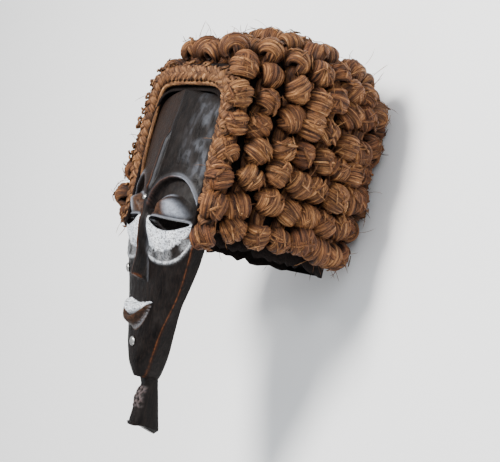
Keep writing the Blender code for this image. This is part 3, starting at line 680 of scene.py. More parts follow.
def face_paint(xs, ys, front):
    """Where white pigment, worn edges, brown wood and the grey painted highlights and sheen are, point by
    point.
    """
    ax = np.abs(xs)
    half = face_half_width(ys)
    brow, lid, cheek, bag, dy = eye_rings(ax, ys)
    ragged = soft_noise(xs / 0.003, ys / 0.003, 41) - 0.5
    blotch = soft_noise(xs / 0.011, ys / 0.014, 43)
    low, high, t_slit = slit_bounds(ax)
    flecks = soft_noise(xs / 0.0022, ys / 0.0045, 47)
    speckle = step(0.35, 0.65, soft_noise(xs / 0.0028, ys / 0.0060, 49))
    nose_half = nose_places(ys)[1]
    off_nose = np.where(ys > NOSE_END - 0.003, step(1.02, 1.22, ax / (nose_half + 0.0008)), 1.0)
    off_slit = np.where(t_slit < 1.0, step(0.0002, 0.0012, low - ys), 1.0)
    crescent = step(1.03, 0.93, cheek + 0.10 * ragged) * step(-0.0005, -0.0030, dy) * off_nose * off_slit
    rim = bell((bag - 0.985) * BAG_RY, 0.0017) * step(-0.010, -0.020, dy) * off_nose
    wash = step(1.02, 0.98, bag) * step(-0.012, -0.022, dy) * off_nose
    share, across = lip_places(ax, ys)
    lips = (np.abs(across) < 1.2) & (share < 0.98)
    white = np.maximum(crescent, rim * (0.55 + 0.4 * ragged))
    white = np.maximum(white, 0.17 * wash * step(0.25, 0.7, blotch))
    white = np.maximum(white, step(0.02, 0.12, across) * lips * 0.95)
    white = np.maximum(white, bell(across + 1.02, 0.10) * lips * 0.30)
    end = step(RIB_END + 0.002, RIB_END - 0.010, ys) * step(RIB_START - 0.002, RIB_START + 0.004, ys)
    rib_edge = bell(xs + 0.62 * RIB_HALF, 0.0010) * end
    on_nose = (ys < NOSE_START - 0.012) & (ys > NOSE_END - 0.004)
    nose_edge = bell(xs + 0.30 * nose_half, 0.0008) * on_nose
    nose_tip = bell(ys - NOSE_END, 0.0016) * (ax < 0.7 * nose_half)
    brow_edge = bell(brow - 0.0002, 0.0005) * step(0.004, 0.014, dy) * step(EYE_X + 0.012, EYE_X, ax)
    front_edge = 0.75 * bell(half - ax - 0.0007, 0.0006) * step(-0.020, -0.040, ys) * step(0.05, 0.55, flecks)
    worn = np.maximum.reduce([rib_edge, nose_edge, 0.8 * nose_tip, 0.45 * brow_edge, front_edge])
    worn = worn * (0.55 + 0.45 * blotch)
    inner_lid = step(1.02, 0.85, lid) * step(0.0, 0.004, dy) * step(EYE_X + 0.004, EYE_X - 0.010, ax)
    lower_lip = step(0.0, -0.12, across) * lips * 0.55
    brown = np.maximum.reduce([0.85 * inner_lid, lower_lip, 0.13 * (xs < 0) * step(0.0, 0.03, ys)])
    outer_lid = step(0.95, 0.55, lid) * step(0.0, 0.006, dy) * step(EYE_X - 0.010, EYE_X + 0.006, ax)
    slit_rim = bell(ys - high - 0.0012, 0.0012) * (t_slit < 1.02)
    lid_line = bell((lid - 1.0) * LID_RX, 0.0012) * step(0.002, 0.006, dy)
    lid_line = lid_line * step(EYE_X + 0.008, EYE_X - 0.006, ax)
    brow_band = np.maximum(bell(brow - 0.0006, 0.0007), 0.35 * bell(brow - 0.0026, 0.0012))
    brow_band = brow_band * step(0.004, 0.014, dy) * (0.15 + 0.85 * step(EYE_X - 0.012, EYE_X + 0.008, ax))
    rib_line = bell(xs - 0.62 * RIB_HALF, 0.0005) * end
    nose_line = bell(xs - 1.02 * nose_half, 0.0008) * on_nose * step(-0.01, -0.03, ys)
    forehead_sheen = step(0.020, 0.060, xs) * step(0.010, 0.050, ys) * step(0.30, 0.75, blotch)
    keel = bell(xs, 0.0007) * step(RIB_END - 0.004, RIB_END + 0.004, ys) * step(FACE_TOP, FACE_TOP - 0.02, ys)
    forehead_sheen = forehead_sheen * (0.25 + 0.75 * speckle)
    # Grey holds painted highlights and sheen: outer lid, above the slit, lid and brow edges, rib, nose side,
    # near forehead, keel
    grey = np.maximum.reduce([0.72 * outer_lid, 0.42 * slit_rim, 0.40 * lid_line, 0.55 * brow_band,
                              0.09 * rib_line, 0.10 * nose_line, 0.15 * forehead_sheen, 0.04 * keel])
    only = np.arange(xs.shape[1])[None, :] < front
    return {"white": (white * only).ravel(), "worn": (worn * only).ravel(),
            "brown": (brown * only).ravel(), "grey": (grey * only).ravel()}


def post_mesh(material, rows=96, around=90):
    """Post under the chin, with its panel of crossing strands."""
    t = np.linspace(0, 1, rows)[:, None]
    angle = 2 * np.pi * np.arange(around)[None, :] / around
    waist = 1 - 0.10 * bell(t - 0.20, 0.12)
    half = 0.5 * POST_WIDTH * waist * (1 + 0.14 * step(0.3, 1.0, t))
    spread = 0.35 * step(0.18, 0.40, t) + 0.65 * step(0.35, 0.95, t)
    depth = POST_DEPTH * waist + (POST_FOOT_DEPTH - POST_DEPTH) * spread
    shrink = 1 - 0.28 * step(0.93, 1.0, t) ** 2
    c, s = squared_circle(angle, 0.55, 0.55)
    front = 0.5 * (1 + s)
    turn = np.where(s > 0.6, c, 2.0)
    start, end = POST_PANEL
    u = 2.5 * (t - start) / (end - start)
    v = 1.3 * turn
    strands = np.maximum(bell(np.abs((u + v) % 1.0 - 0.5), 0.16), bell(np.abs((u - v) % 1.0 - 0.5), 0.16))
    fade = step(start, start + 0.05, t) * step(end, end - 0.05, t) * (1 - step(0.75, 1.0, np.abs(turn)))
    push = POST_RELIEF * strands * fade
    slant = POST_FOOT_SLANT * step(0.80, 1.0, t) * front
    marks = 0.0004 * scoops(angle * 1.6 + 0 * t, t * 6, 61)
    across = half * shrink * c * (1 - marks / 0.02)
    forward = depth * (front * shrink + 0.5 * (1 - shrink)) - 0.5 * POST_DEPTH + push
    down = POST_LENGTH * t - slant
    y = -POST_START - down * math.cos(POST_LEAN) - forward * math.sin(POST_LEAN)
    z = POST_Z - down * math.sin(POST_LEAN) + forward * math.cos(POST_LEAN)
    x_all = across + 0 * y
    verts = np.stack([x_all, y, z], -1).reshape(-1, 3)
    faces = closed_faces(rows, around)
    # The strand ridges take brown wear and a little white, and a painted grey highlight
    strand_wear_and_sheen = strands * fade * np.ones_like(x_all)
    return make_object("chin_post_carving", verts, faces, material, white=0.02 * strand_wear_and_sheen.ravel(),
                       worn=0.18 * strand_wear_and_sheen.ravel(), brown=0.35 * strand_wear_and_sheen.ravel(), grey=0.13 * strand_wear_and_sheen.ravel())


def hood_section(z, offset):
    """Half width and top of the hood at one depth, grown outward by the offset."""
    share = min(max((HOOD_FRONT - z) / (HOOD_FRONT - HOOD_REAR), 0.0), 1.0)
    flare = float(step(HOOD_FRONT - 0.3 * HOOD_LIP, HOOD_FRONT - 1.54 * HOOD_LIP, z))
    half = FACE_HALF_WIDTH + GAP + HOOD_SWELL * math.sin(math.pi * share) * float(step(0.13, 0.36, share))
    top = FACE_TOP + GAP + HOOD_FLARE * flare
    top += CROWN_SWELL * math.sin(math.pi * share ** 0.85) * float(step(0.05, 0.41, share))
    radius = HOOD_CORNER + offset
    into = (HOOD_REAR + HOOD_CORNER) - z
    inset = radius - math.sqrt(max(radius ** 2 - min(max(into, 0.0), radius) ** 2, 0.0))
    return half + offset - inset, top + offset - CORNER_DROP * inset


def arch(half, top, low, count=96):
    """Arch outline from the near lower edge over the crown to the far lower edge."""
    shoulder = min(HOOD_SHOULDER, top - 0.5 * half)
    points = [Vector((half, low)), Vector((half, shoulder))]
    for k in range(1, count):
        c, s = squared_circle(math.pi * k / count, 2 / ARCH_POWER, 2 / ARCH_POWER)
        points.append(Vector((half * c, shoulder + (top - shoulder) * s)))
    points += [Vector((-half, shoulder)), Vector((-half, low))]
    return points


def resample(points, count):
    """Points at equal steps along a polyline."""
    lengths = [0.0]
    for a, b in zip(points, points[1:]):
        lengths.append(lengths[-1] + (b - a).length)
    out = []
    k = 0
    for j in range(count + 1):
        want = lengths[-1] * j / count
        while k < len(lengths) - 2 and lengths[k + 1] < want:
            k += 1
        t = (want - lengths[k]) / (lengths[k + 1] - lengths[k])
        out.append(points[k].lerp(points[k + 1], min(max(t, 0.0), 1.0)))
    return out


def course_depths(steps=160, inward=24):
    """Arch that carries each course of knots: its half width, depth and top."""
    rear = HOOD_REAR - KNOT_SEAT
    dense = []
    for k in range(steps + 1):
        z = FIRST_COURSE + (rear - FIRST_COURSE) * k / steps
        half, top = hood_section(z, KNOT_SEAT)
        dense.append(Vector((half, z, top)))
    last = dense[-1]
    for k in range(1, inward + 1):
        shrunk = last.x * (1 - k / inward)
        dense.append(Vector((shrunk, rear, last.z - (last.x - shrunk))))
    lengths = [0.0]
    for a, b in zip(dense, dense[1:]):
        lengths.append(lengths[-1] + math.hypot(b.x - a.x, b.y - a.y))
    count = round(lengths[-1] / COURSE_PITCH)
    out = []
    for j in range(count + 1):
        want = lengths[-1] * j / (count + 0.25)
        k = min(max(i for i, v in enumerate(lengths) if v <= want + 1e-9), len(dense) - 2)
        out.append(dense[k].lerp(dense[k + 1], (want - lengths[k]) / (lengths[k + 1] - lengths[k])))
    return out


def hood_normal(p, rear):
    """Outward direction of the hood, by the slope of a rounded box."""
    centre = Vector((0.0, HOOD_SHOULDER, 0.5 * (HOOD_FRONT + rear)))
    sizes = (FACE_HALF_WIDTH + 0.022, 0.135, 0.5 * (HOOD_FRONT - rear))
    q = p - centre
    x = q.x / sizes[0]
    y = max(q.y, 0.0) / sizes[1]
    z = min(q.z, 0.0) / sizes[2]
    return Vector((math.copysign(abs(x) ** 5 / sizes[0], x), y ** 5 / sizes[1],
                   math.copysign(abs(z) ** 5 / sizes[2], z))).normalized()


def knot_courses():
    """Middle and outward direction of every knot, course by course."""
    rear = HOOD_REAR - KNOT_SEAT
    courses = []
    for row, (half, z, top) in enumerate(course_depths()):
        low = RIM_Y - FRONT_SAG * float(bell(z - FIRST_COURSE, COURSE_PITCH))
        single = half < 0.6 * KNOT_PITCH
        if single:
            outline = [Vector((0.0, low)), Vector((0.0, top))]
            count = max(1, round((top - low) / KNOT_PITCH))
        else:
            outline = arch(half, top, low)
            count = round(sum((b - a).length for a, b in zip(outline, outline[1:])) / KNOT_PITCH)
        if (count + row) % 2:
            count += 1
        course = []
        for k, p in enumerate(resample(outline, count)):
            middle = Vector((p.x, p.y, z))
            out = hood_normal(middle, rear)
            if row == 0:
                out = (out + Vector((0, 0, 0.6))).normalized()
            if k in (0, count):
                out = (out + Vector((0, -0.5, 0))).normalized()
            course.append((middle, out))
        courses.append(course)
    return courses


def wraps_of_knot():
    """Turn, sideways place, width, thickness and ends in degrees of each bundle laid round one knot."""
    count = RNG.choice((2, 3, 3))
    reach = 6.2 if count == 2 else 9.2
    wraps = []
    for k in range(count):
        place = reach * (2 * k / (count - 1) - 1) + RNG.uniform(-1.0, 1.0)
        width = (16.5 if count == 2 else 13.5) + RNG.uniform(-1.2, 1.2)
        wraps.append((RNG.uniform(-13, 13), place, width, 8.2, -28 + RNG.uniform(-8, 8), 206))
    crossing = RNG.uniform(62, 118)
    wraps.append((crossing, RNG.uniform(-6, 6), 14.5, 8.0, RNG.uniform(60, 96), 215))
    if RNG.random() < 0.65:
        turn = crossing + RNG.uniform(-35, 35)
        wraps.append((turn, RNG.uniform(-9, 9), 11.0, 7.4, -35, RNG.uniform(62, 92)))
    return wraps


def wrap_band(middle, out, side, wrap, size, seed, steps=13, around=24):
    """One bundle of flat fibres laid over a knot: points, faces, texture places and depth, its painted shade.
    """
    turn, place, width, thick, start, end = wrap
    turn = math.radians(turn)
    ahead = side * math.cos(turn) + out.cross(side) * math.sin(turn)
    across = out.cross(ahead)
    o, d, e, p = (np.array(v) for v in (out, ahead, across, middle))
    height = math.sqrt(KNOT_REACH ** 2 - place ** 2) - 0.5 * thick
    phi = np.radians(np.linspace(start, end, steps))[:, None]
    along = np.linspace(0, 1, steps)[:, None]
    mid = np.sin(np.pi * (0.04 + 0.92 * along))
    radius = 0.001 * size * height * (0.80 + 0.20 * mid ** 0.5)
    wander = 0.7 * np.sin(along * 5 + seed)
    centre = p + radius * (np.cos(phi) * d + np.sin(phi) * o)
    centre = centre + 0.001 * size * (place * (0.62 + 0.38 * mid) + wander) * e
    outward = np.cos(phi) * d + np.sin(phi) * o + 0.055 * place * e
    tangent = unit(np.gradient(centre, axis=0))
    outward = unit(outward - tangent * np.sum(outward * tangent, axis=1, keepdims=True))
    binormal = np.cross(tangent, outward)
    top_count = around - 5
    under = 1.05 + 0.15 * np.arange(1, 6)
    theta = np.concatenate([np.linspace(-0.05, 1.05, top_count), under])[None, :] * np.pi
    c, s = squared_circle(theta, 0.85, 0.75)
    upper = np.arange(around)[None, :] < top_count
    groove = np.zeros((steps, around))
    for k in range(3):
        at = -0.62 + 0.62 * k + 0.34 * (hashed(k, seed, 3) - 0.5) + 0.16 * np.sin(along * 4 + seed + 2 * k)
        groove = np.maximum(groove, (0.55 + 0.45 * hashed(k, seed, 5)) * bell(c - at, 0.075))
    turns = np.arange(around)
    fibre = hashed(turns, seed, 9) - 0.5 + 0.5 * (hashed(turns // 2, seed + 0.5, 4) - 0.5)
    frayed = 1 + 0.10 * (soft_noise(along * 5 + seed, 0 * along, 8) - 0.5)
    half_w = 0.0005 * size * width * (0.36 + 0.64 * mid ** 0.7) * frayed
    half_t = 0.0005 * size * thick * (0.60 + 0.40 * mid ** 0.5)
    sideways = half_w * c
    bow = -(sideways ** 2) / (0.028 * size)
    lift = half_t * s + bow + upper * (0.00045 * fibre[None, :] - 0.0017 * groove * s)
    verts = centre[:, None, :] + sideways[..., None] * binormal[:, None, :]
    verts = verts + lift[..., None] * outward[:, None, :]
    u = np.repeat(along * 0.045 + seed * 1.7, around, 1)
    v = np.repeat(theta / np.pi * 0.0011 * width, steps, 0) + seed * 0.31
    # Depth is painted shade: darker towards the knot's middle, on sides facing in, in the grooves and
    # underneath
    offset = verts - p
    reach = np.linalg.norm(offset, axis=2) / (0.001 * KNOT_REACH * size)
    facing = np.sum(offset * o, axis=2) / (0.001 * KNOT_REACH * size)
    depth = np.clip((reach - 0.62) / 0.34, 0, 1) * np.clip(0.66 + 0.5 * facing, 0.15, 1.0)
    depth = depth * (1 - 0.75 * groove * upper) * (0.45 + 0.55 * np.clip(s + 0.35, 0, 1))
    uvs = np.stack([u, v], -1).reshape(-1, 2)
    return verts.reshape(-1, 3), closed_faces(steps, around), uvs, depth.ravel()


def gather(parts):
    """Join meshes given as points, faces, texture places and values."""
    verts, faces, uvs, rows = [], [], [], {}
    base = 0
    for v, f, uv, values in parts:
        verts.append(v)
        faces.append(f + base)
        uvs.append(uv)
        for key, value in values.items():
            rows.setdefault(key, []).append(value)
        base += len(v)
    return (np.concatenate(verts), np.concatenate(faces), np.concatenate(uvs),
            {key: np.concatenate(value) for key, value in rows.items()})


def joined(name, parts, material):
    v, f, uv, values = gather(parts)
    return make_object(name, v, f, material, uv, **values)


def tinted(mesh, tint, depth):
    """Mesh with one tint and one depth, its painted shade, for all its points."""
    v, f, uv = mesh
    return v, f, uv, {"tint": np.full(len(v), tint), "depth": np.full(len(v), depth)}


def knot_tint_and_shade(middle):
    """Light in front; redder and darker behind and below as painted shade on the knots turned from the light,
    with a random tone on top.
    """
    back = float(step(-0.08, -0.24, middle.z))
    low = float(step(0.06, -0.02, middle.y))
    return 0.66 - 0.24 * back - 0.12 * low + RNG.uniform(-0.22, 0.22)


def cord_between(a, b, out, seed):
    """Twisted tie of brown raffia from one knot to the next, under them both."""
    points = []
    for k in range(9):
        t = k / 8
        points.append(tuple(a.lerp(b, t) - out * TIE_SAG * math.sin(math.pi * t)))
    ups = np.tile(np.array(out), (9, 1))
    cord = tube(np.array(points), TIE_WIDTH, TIE_THICK, ups, seed, around=12, ridges=0.16, ends=0.8)
    # Depth 0.66 darkens the tie as painted shade under the knots
    return tinted(cord, 0.50, 0.66)


def outside_cap(verts, rearmost, stations=80):
    """Points of a knot pushed out of the cap: away from its arch, or behind its rear for the rear knots."""
    if rearmost:
        verts[:, 2] = np.minimum(verts[:, 2], HOOD_REAR - LINING - 2 * GAP)
        return verts
    depths = np.linspace(HOOD_REAR, HOOD_FRONT, stations)
    sections = np.array([hood_section(float(z), LINING + 3 * GAP) for z in depths])
    half = np.interp(verts[:, 2], depths, sections[:, 0])
    top = np.interp(verts[:, 2], depths, sections[:, 1])
    rise = np.maximum(verts[:, 1] - HOOD_SHOULDER, 0.0)
    inward = (np.abs(verts[:, 0]) / half) ** ARCH_POWER + (rise / (top - HOOD_SHOULDER)) ** ARCH_POWER
    inside = (inward < 1.0) & (verts[:, 2] > HOOD_REAR) & (verts[:, 2] < HOOD_FRONT)
    push = np.where(inside, np.maximum(inward, 0.1) ** (-1 / ARCH_POWER), 1.0)
    verts[:, 0] *= push
    verts[:, 1] += rise * (push - 1.0)
    return verts


def raffia_knots(material):
    """Every knot as bundles of flat fibre laid round it, one piece a course."""
    pieces = []
    places = []
    seed = 0
    for row, course in enumerate(knot_courses()):
        parts = []
        before = None
        for middle, out in course:
            seed += 1
            rearmost = out.z < -0.8
            middle = middle + random_vector() * KNOT_STRAY
            near = float(step(0.03, 0.06, middle.x))
            far = float(step(-0.05, -0.08, middle.x) * bell(middle.y - 0.020, 0.040))
            rear = float(step(-0.15, -0.21, middle.z))
            if row < 2:
                forward = 0.010 if row == 0 else 0.006
                lift = 0.015 * float(step(-0.05, -0.08, middle.x) * step(0.005, -0.015, middle.y))
                middle = middle + Vector((-0.009 * far, lift, forward * max(near, 1.2 * far)))
            shift = Vector((0, 0.006 * step(0.10, 0.15, middle.y), 0.005 * step(0.09, 0.0, middle.y)))
            middle = middle + shift * rear
            out = (out + random_vector() * KNOT_LEAN).normalized()
            size = RNG.uniform(0.92, 1.09)
            side = Matrix.Rotation(RNG.uniform(0, 2 * math.pi), 3, out) @ out.orthogonal().normalized()
            # Tone of the knot: random, with painted shade on the rear and lower knots
            tint = knot_tint_and_shade(middle)
            for k, wrap in enumerate(wraps_of_knot()):
                v, f, uv, depth = wrap_band(middle, out, side, wrap, size, seed * 5 + k)
                v = outside_cap(v, rearmost)
                value = np.full(len(v), tint + RNG.uniform(-0.18, 0.18))
                parts.append((v, f, uv, {"tint": value, "depth": depth}))
            tied = middle - out * TIE_SINK
            if before is not None:
                v, f, uv, values = cord_between(before, tied, out, seed)
                parts.append((outside_cap(v, rearmost), f, uv, values))
            before = tied
            places.append((middle, out))
        v, f, uv, values = gather(parts)
        v[:, 2] = np.maximum(v[:, 2], FLOOR + 0.0002)
        pieces.append(make_object("knot_course_%02d" % (row + 1), v, f, material, uv, **values))
    return pieces, places


def braid_path(steps):
    """Middle line of the braid, along the front edge of the hood."""
    half = hood_section(HOOD_FRONT - HOOD_LIP, BRAID_OFFSET)[0]
    outline = resample(arch(half, FACE_TOP + BRAID_CROWN, BRAID_END_Y), steps)
    path = []
    for p in outline:
        sink = BRAID_SINK * float(step(HOOD_SHOULDER, 0.0, p.y)) + BRAID_BEND * (abs(p.x) / half) ** 4
        path.append(Vector((p.x, p.y, BRAID_LIFT - sink)))
    return path


def tube(path, width, thick, ups, seed, around=18, flat=0.8, ridges=0.10, ends=0.35):
    """Ridged flat strand along a path, its broad side facing up: points, faces, texture places."""
    path = np.asarray(path)
    steps = len(path)
    tangent = unit(np.gradient(path, axis=0))
    ups = unit(ups - tangent * np.sum(ups * tangent, axis=1, keepdims=True))
    side = np.cross(tangent, ups)
    theta = 2 * np.pi * np.arange(around)[None, :] / around
    c, s = squared_circle(theta, flat, flat)
    length = np.concatenate([[0], np.cumsum(np.linalg.norm(np.diff(path, axis=0), axis=1))])
    twisting = np.sin(theta * 9 + seed * 2 + length[:, None] * 90)
    ridge = 1 + ridges * (np.sin(theta * 5 + seed) + 0.6 * twisting)
    ease = np.minimum(np.arange(steps), np.arange(steps)[::-1]) / max(2.0, 0.06 * steps)
    ease = (ends + (1 - ends) * np.clip(ease, 0, 1))[:, None]
    sideways = (0.5 * width * ease * c * ridge)[..., None] * side[:, None, :]
    verts = path[:, None, :] + sideways + (0.5 * thick * ease * s * ridge)[..., None] * ups[:, None, :]
    u = np.repeat(length[:, None], around, 1) + seed
    v = np.repeat(theta / np.pi * width, steps, 0) + seed * 0.37
    return verts.reshape(-1, 3), closed_faces(steps, around), np.stack([u, v], -1).reshape(-1, 2)


def braid(material, periods=17, detail=24, around=20):
    """Three-strand plait along the front edge of the wig, with a smooth cord along its inner side."""
    steps = periods * detail
    base = np.array([tuple(p) for p in braid_path(steps)])
    up = np.tile(np.array([0.0, 0.0, 1.0]), (len(base), 1))
    side = unit(np.cross(unit(np.gradient(base, axis=0)), up))
    parts = []
    t = 2 * np.pi * np.arange(len(base)) / detail
    t = t + 0.5 * (soft_noise(t / 9.0, 0 * t, 21) - 0.5)
    for k in range(3):
        phase = 2 * math.pi * k / 3
        swing = np.sin(t + phase)[:, None]
        lift = STRAND_RISE * np.sin(2 * (t + phase))
        line = base + STRAND_SWING * swing * side + lift[:, None] * up
        lean = up + 0.75 * swing * side
        v, f, uv = tube(line, STRAND_WIDTH, STRAND_THICK, lean, 3.7 * k + 1, around=around, ridges=0.14)
        rough = soft_noise(uv[:, 0] * 120, uv[:, 1] * 900, 33 + k)
        crown = np.tile(np.sin(2 * np.pi * np.arange(around) / around), len(base))
        # Depth is painted shade: darker on the lower strands and on the under side of each strand
        reach = np.clip(0.55 + 0.60 * (v[:, 2] - np.repeat(base[:, 2], around)) / 0.006, 0.12, 1.0)
        reach = reach * (0.25 + 0.75 * np.clip(crown * 1.5 - 0.10, 0, 1))
        tint = 0.50 + 0.30 * (soft_noise(uv[:, 0] * 26, 0 * rough, 35 + k) - 0.5)
        parts.append((v, f, uv, {"tint": tint, "depth": reach * (0.75 + 0.25 * rough)}))
    hem = base - HEM_INSET * side - np.array([0.0, 0.0, HEM_DROP])
    cord = tube(hem, HEM_WIDTH, HEM_THICK, up, 9.1, around=10, ridges=0.10)
    parts.append(tinted(cord, 0.66, 0.85))
    return joined("plaited_edge", parts, material)


def lining(material, around=112):
    """Dark netted cap: outer and inner skin with a ragged hem, open in front and below."""
    stations = list(np.linspace(HOOD_FRONT, HOOD_FRONT - 2 * HOOD_LIP, 8))
    stations += list(np.linspace(stations[-1] - HOOD_LIP, HOOD_REAR + HOOD_CORNER, 26))
    for k in range(1, 13):
        stations.append(HOOD_REAR + HOOD_CORNER - (HOOD_CORNER + LINING) * math.sin(math.pi / 2 * k / 12))
    rows_out = []
    rows_in = []
    for z in stations:
        half, top = hood_section(z, LINING + GAP)
        half_in, top_in = hood_section(max(z, HOOD_REAR + 0.0003), 2 * GAP)
        for half_at, top_at, rows in ((half, top, rows_out), (half_in, top_in, rows_in)):
            line = resample(arch(max(half_at, 0.004), top_at, FRINGE_Y), around)
            rows.append([(p.x, p.y, z if rows is rows_out else max(z, HOOD_REAR + 0.0003)) for p in line])
    outer = np.array(rows_out)
    inner = np.array(rows_in)
    for skin in (outer, inner):
        lumps = soft_noise(skin[..., 1] * 210 + skin[..., 0] * 60, skin[..., 2] * 210, 71) - 0.5
        centre = np.array([0.0, 0.06, -0.12])
        skin += unit(skin - centre) * (0.0007 * lumps)[..., None]
        frill = 0.007 * (soft_noise(skin[..., 2] * 230, skin[..., 2] * 0 + (skin[..., 0] > 0), 77) - 0.25)
        tear = 0.004 * step(0.55, 0.9, soft_noise(skin[..., 2] * 700, skin[..., 0] * 0, 79))
        hem = step(FRINGE_Y + 0.018, FRINGE_Y, skin[..., 1])
        skin[..., 1] += hem * np.clip(frill + tear, 0, 0.012)
    rows, columns = outer.shape[:2]
    faces_out = grid_faces(rows, columns, False)
    count = rows * columns
    faces_in = faces_out[:, ::-1] + count
    last = (rows - 1) * columns
    cap = []
    for k in range(columns // 2):
        a, b = last + k, last + columns - 1 - k
        if b - 1 > a + 1:
            cap.append((a, a + 1, b - 1, b))
    cap = np.array(cap)
    edges = []
    for r in range(rows - 1):
        a, b = r * columns, (r + 1) * columns
        edges.append((a, b, b + count, a + count))
        a, b = b + columns - 1, a + columns - 1
        edges.append((a, b, b + count, a + count))
    for c in range(columns - 1):
        edges.append((c + 1, c, c + count, c + 1 + count))
    edges.append((last + columns - 1, last, last + count, last + columns - 1 + count))
    faces = np.concatenate([faces_out, faces_in, cap[:, ::-1], cap + count, np.array(edges)])
    verts = np.concatenate([outer.reshape(-1, 3), inner.reshape(-1, 3)])
    return make_object("netted_cap", verts, faces[:, ::-1], material)


def tack_domes(material, rings=9, around=36):
    """Domed tack heads, a little dented, each seated on the carving with a short shank."""
    domes = []
    for name, x, y, radius, height in TACKS:
        ends = face_height(np.array([x + radius, x - radius, x, x, x]),
                           np.array([y, y, y + radius, y - radius, y]))
        slope_x = (ends[1] - ends[0]) / (2 * radius)
        slope_y = (ends[3] - ends[2]) / (2 * radius)
        normal = Vector((slope_x, slope_y, 1.0)).normalized()
        centre = Vector((x, y, float(ends[4]))) + normal * 0.0008
        turn = np.array(Vector((0, 0, 1)).rotation_difference(normal).to_matrix())
        theta = 2 * np.pi * np.arange(around)[None, :] / around
        phi = np.pi / 2 * np.linspace(0.02, 1.0, rings)[:, None]
        r = radius * np.sin(phi)
        z = height * np.cos(phi)
        shape = [(float(a), float(b)) for a, b in zip(r[:, 0], z[:, 0])]
        shape += [(radius * 0.97, -0.0006), (0.0013, -0.0007), (0.0012, -0.0040)]
        rows = np.array([[(a * math.cos(t), a * math.sin(t), b) for t in theta[0]] for a, b in shape])
        dents = 0.00022 * (soft_noise(rows[..., 0] / 0.0016 + 9, rows[..., 1] / 0.0016 + 9, 91) - 0.5)
        rows[..., 2] += dents * (rows[..., 2] > 0)
        verts = rows.reshape(-1, 3) @ turn.T + np.array(centre)
        domes.append((name, make_object(name + "_dome", verts, closed_faces(len(shape), around), material)))
    return domes


def loose_strips(material, places):
    """Frayed flat strips that lie over the knots, and single fibres that stand out of them."""
    parts = []
    for k in range(STRIP_COUNT):
        middle, out = places[RNG.randrange(len(places))]
        side = random_vector().cross(out).normalized()
        strip = k % 9 < 5
        if strip:
            angle = math.radians(RNG.uniform(20, 120))
            radius = RNG.uniform(0.0168, 0.0186)
            tilt = out.cross(side) * RNG.uniform(-0.45, 0.45)
            points = []
            for j in range(9):
                turn = angle + math.radians(RNG.uniform(5, 8)) * j
                spread = radius + 0.0006 * abs(j - 4) * RNG.uniform(0.4, 1.0)
                heading = (side * math.cos(turn) + out * math.sin(turn) + tilt).normalized()
                points.append(middle + heading * spread)
            width = RNG.uniform(0.0016, 0.0048)
            thick = STRIP_THICK
        else:
            long = RNG.uniform(0.010, 0.030)
            heading = (out * RNG.uniform(0.3, 1.0) + side * RNG.uniform(0.3, 1.0)).normalized()
            curl = random_vector().normalized()
            point = middle + out * RNG.uniform(0.008, 0.014) + side * RNG.uniform(0.004, 0.012)
            points = []
            for _ in range(9):
                points.append(point.copy())
                heading = (heading + curl * 0.18).normalized()
                point = point + heading * long / 8
            width = RNG.uniform(0.0004, 0.0008)
            thick = 0.8 * width
        # Left out where it would lie under the floor or stand out too far
        if min(p.z for p in points) < FLOOR + 0.001:
            continue
        if max(abs(p.x) for p in points) > STRAY_X or max(p.y for p in points) > STRAY_Y:
            continue
        line = np.array([tuple(p) for p in points])
        ups = line - np.array(middle)
        mesh = tube(line, width, thick, ups, k * 0.7, around=5 if strip else 4, ridges=0.02, ends=0.15)
        parts.append(tinted(mesh, RNG.uniform(0.35, 1.0), 0.9))
    return joined("loose_strips", parts, material)


def edge_curls(material):
    """Small curled ends and tufts that stand out along the braid."""
    path = braid_path(160)
    parts = []
    for k in range(CURL_COUNT):
        at = RNG.randrange(4, 156) if k % 3 == 0 else RNG.randrange(96, 158)
        p = path[at]
        outward = Vector((p.x, max(p.y - 0.06, 0.0) * 1.2, 0.0)).normalized()
        ahead = (path[at + 1] - path[at - 1]).normalized()
        start = p + outward * RNG.uniform(0.006, 0.010) + Vector((0, 0, RNG.uniform(-0.003, 0.007)))
        radius = RNG.uniform(0.0026, 0.0052)
        turns = RNG.uniform(0.5, 1.1)
        way = 1 if k % 2 else -1
        points = []
        for j in range(14):
            angle = 2 * math.pi * turns * j / 13
            rise = outward * radius * 1.3 * math.sin(angle / 2 + 0.3)
            q = start + rise + ahead * radius * math.sin(angle) * way
            points.append(tuple(q + Vector((0, 0, 0.0030 * math.cos(angle)))))
        ups = np.tile(np.array((0.2, 0.1, 1.0)), (14, 1))
        width = RNG.uniform(0.0028, 0.0052)
        mesh = tube(np.array(points), width, CURL_THICK, ups, k * 1.3, around=8, ridges=0.15)
        parts.append(tinted(mesh, RNG.uniform(0.25, 0.8), 0.8))
    return joined("edge_curls", parts, material)


def mask_axis(forward, left, up):
    """Direction in the frame, from the upright mask's own axes."""
    return Vector((left, -forward * math.sin(MASK_TILT) + up * math.cos(MASK_TILT),
                   forward * math.cos(MASK_TILT) + up * math.sin(MASK_TILT)))


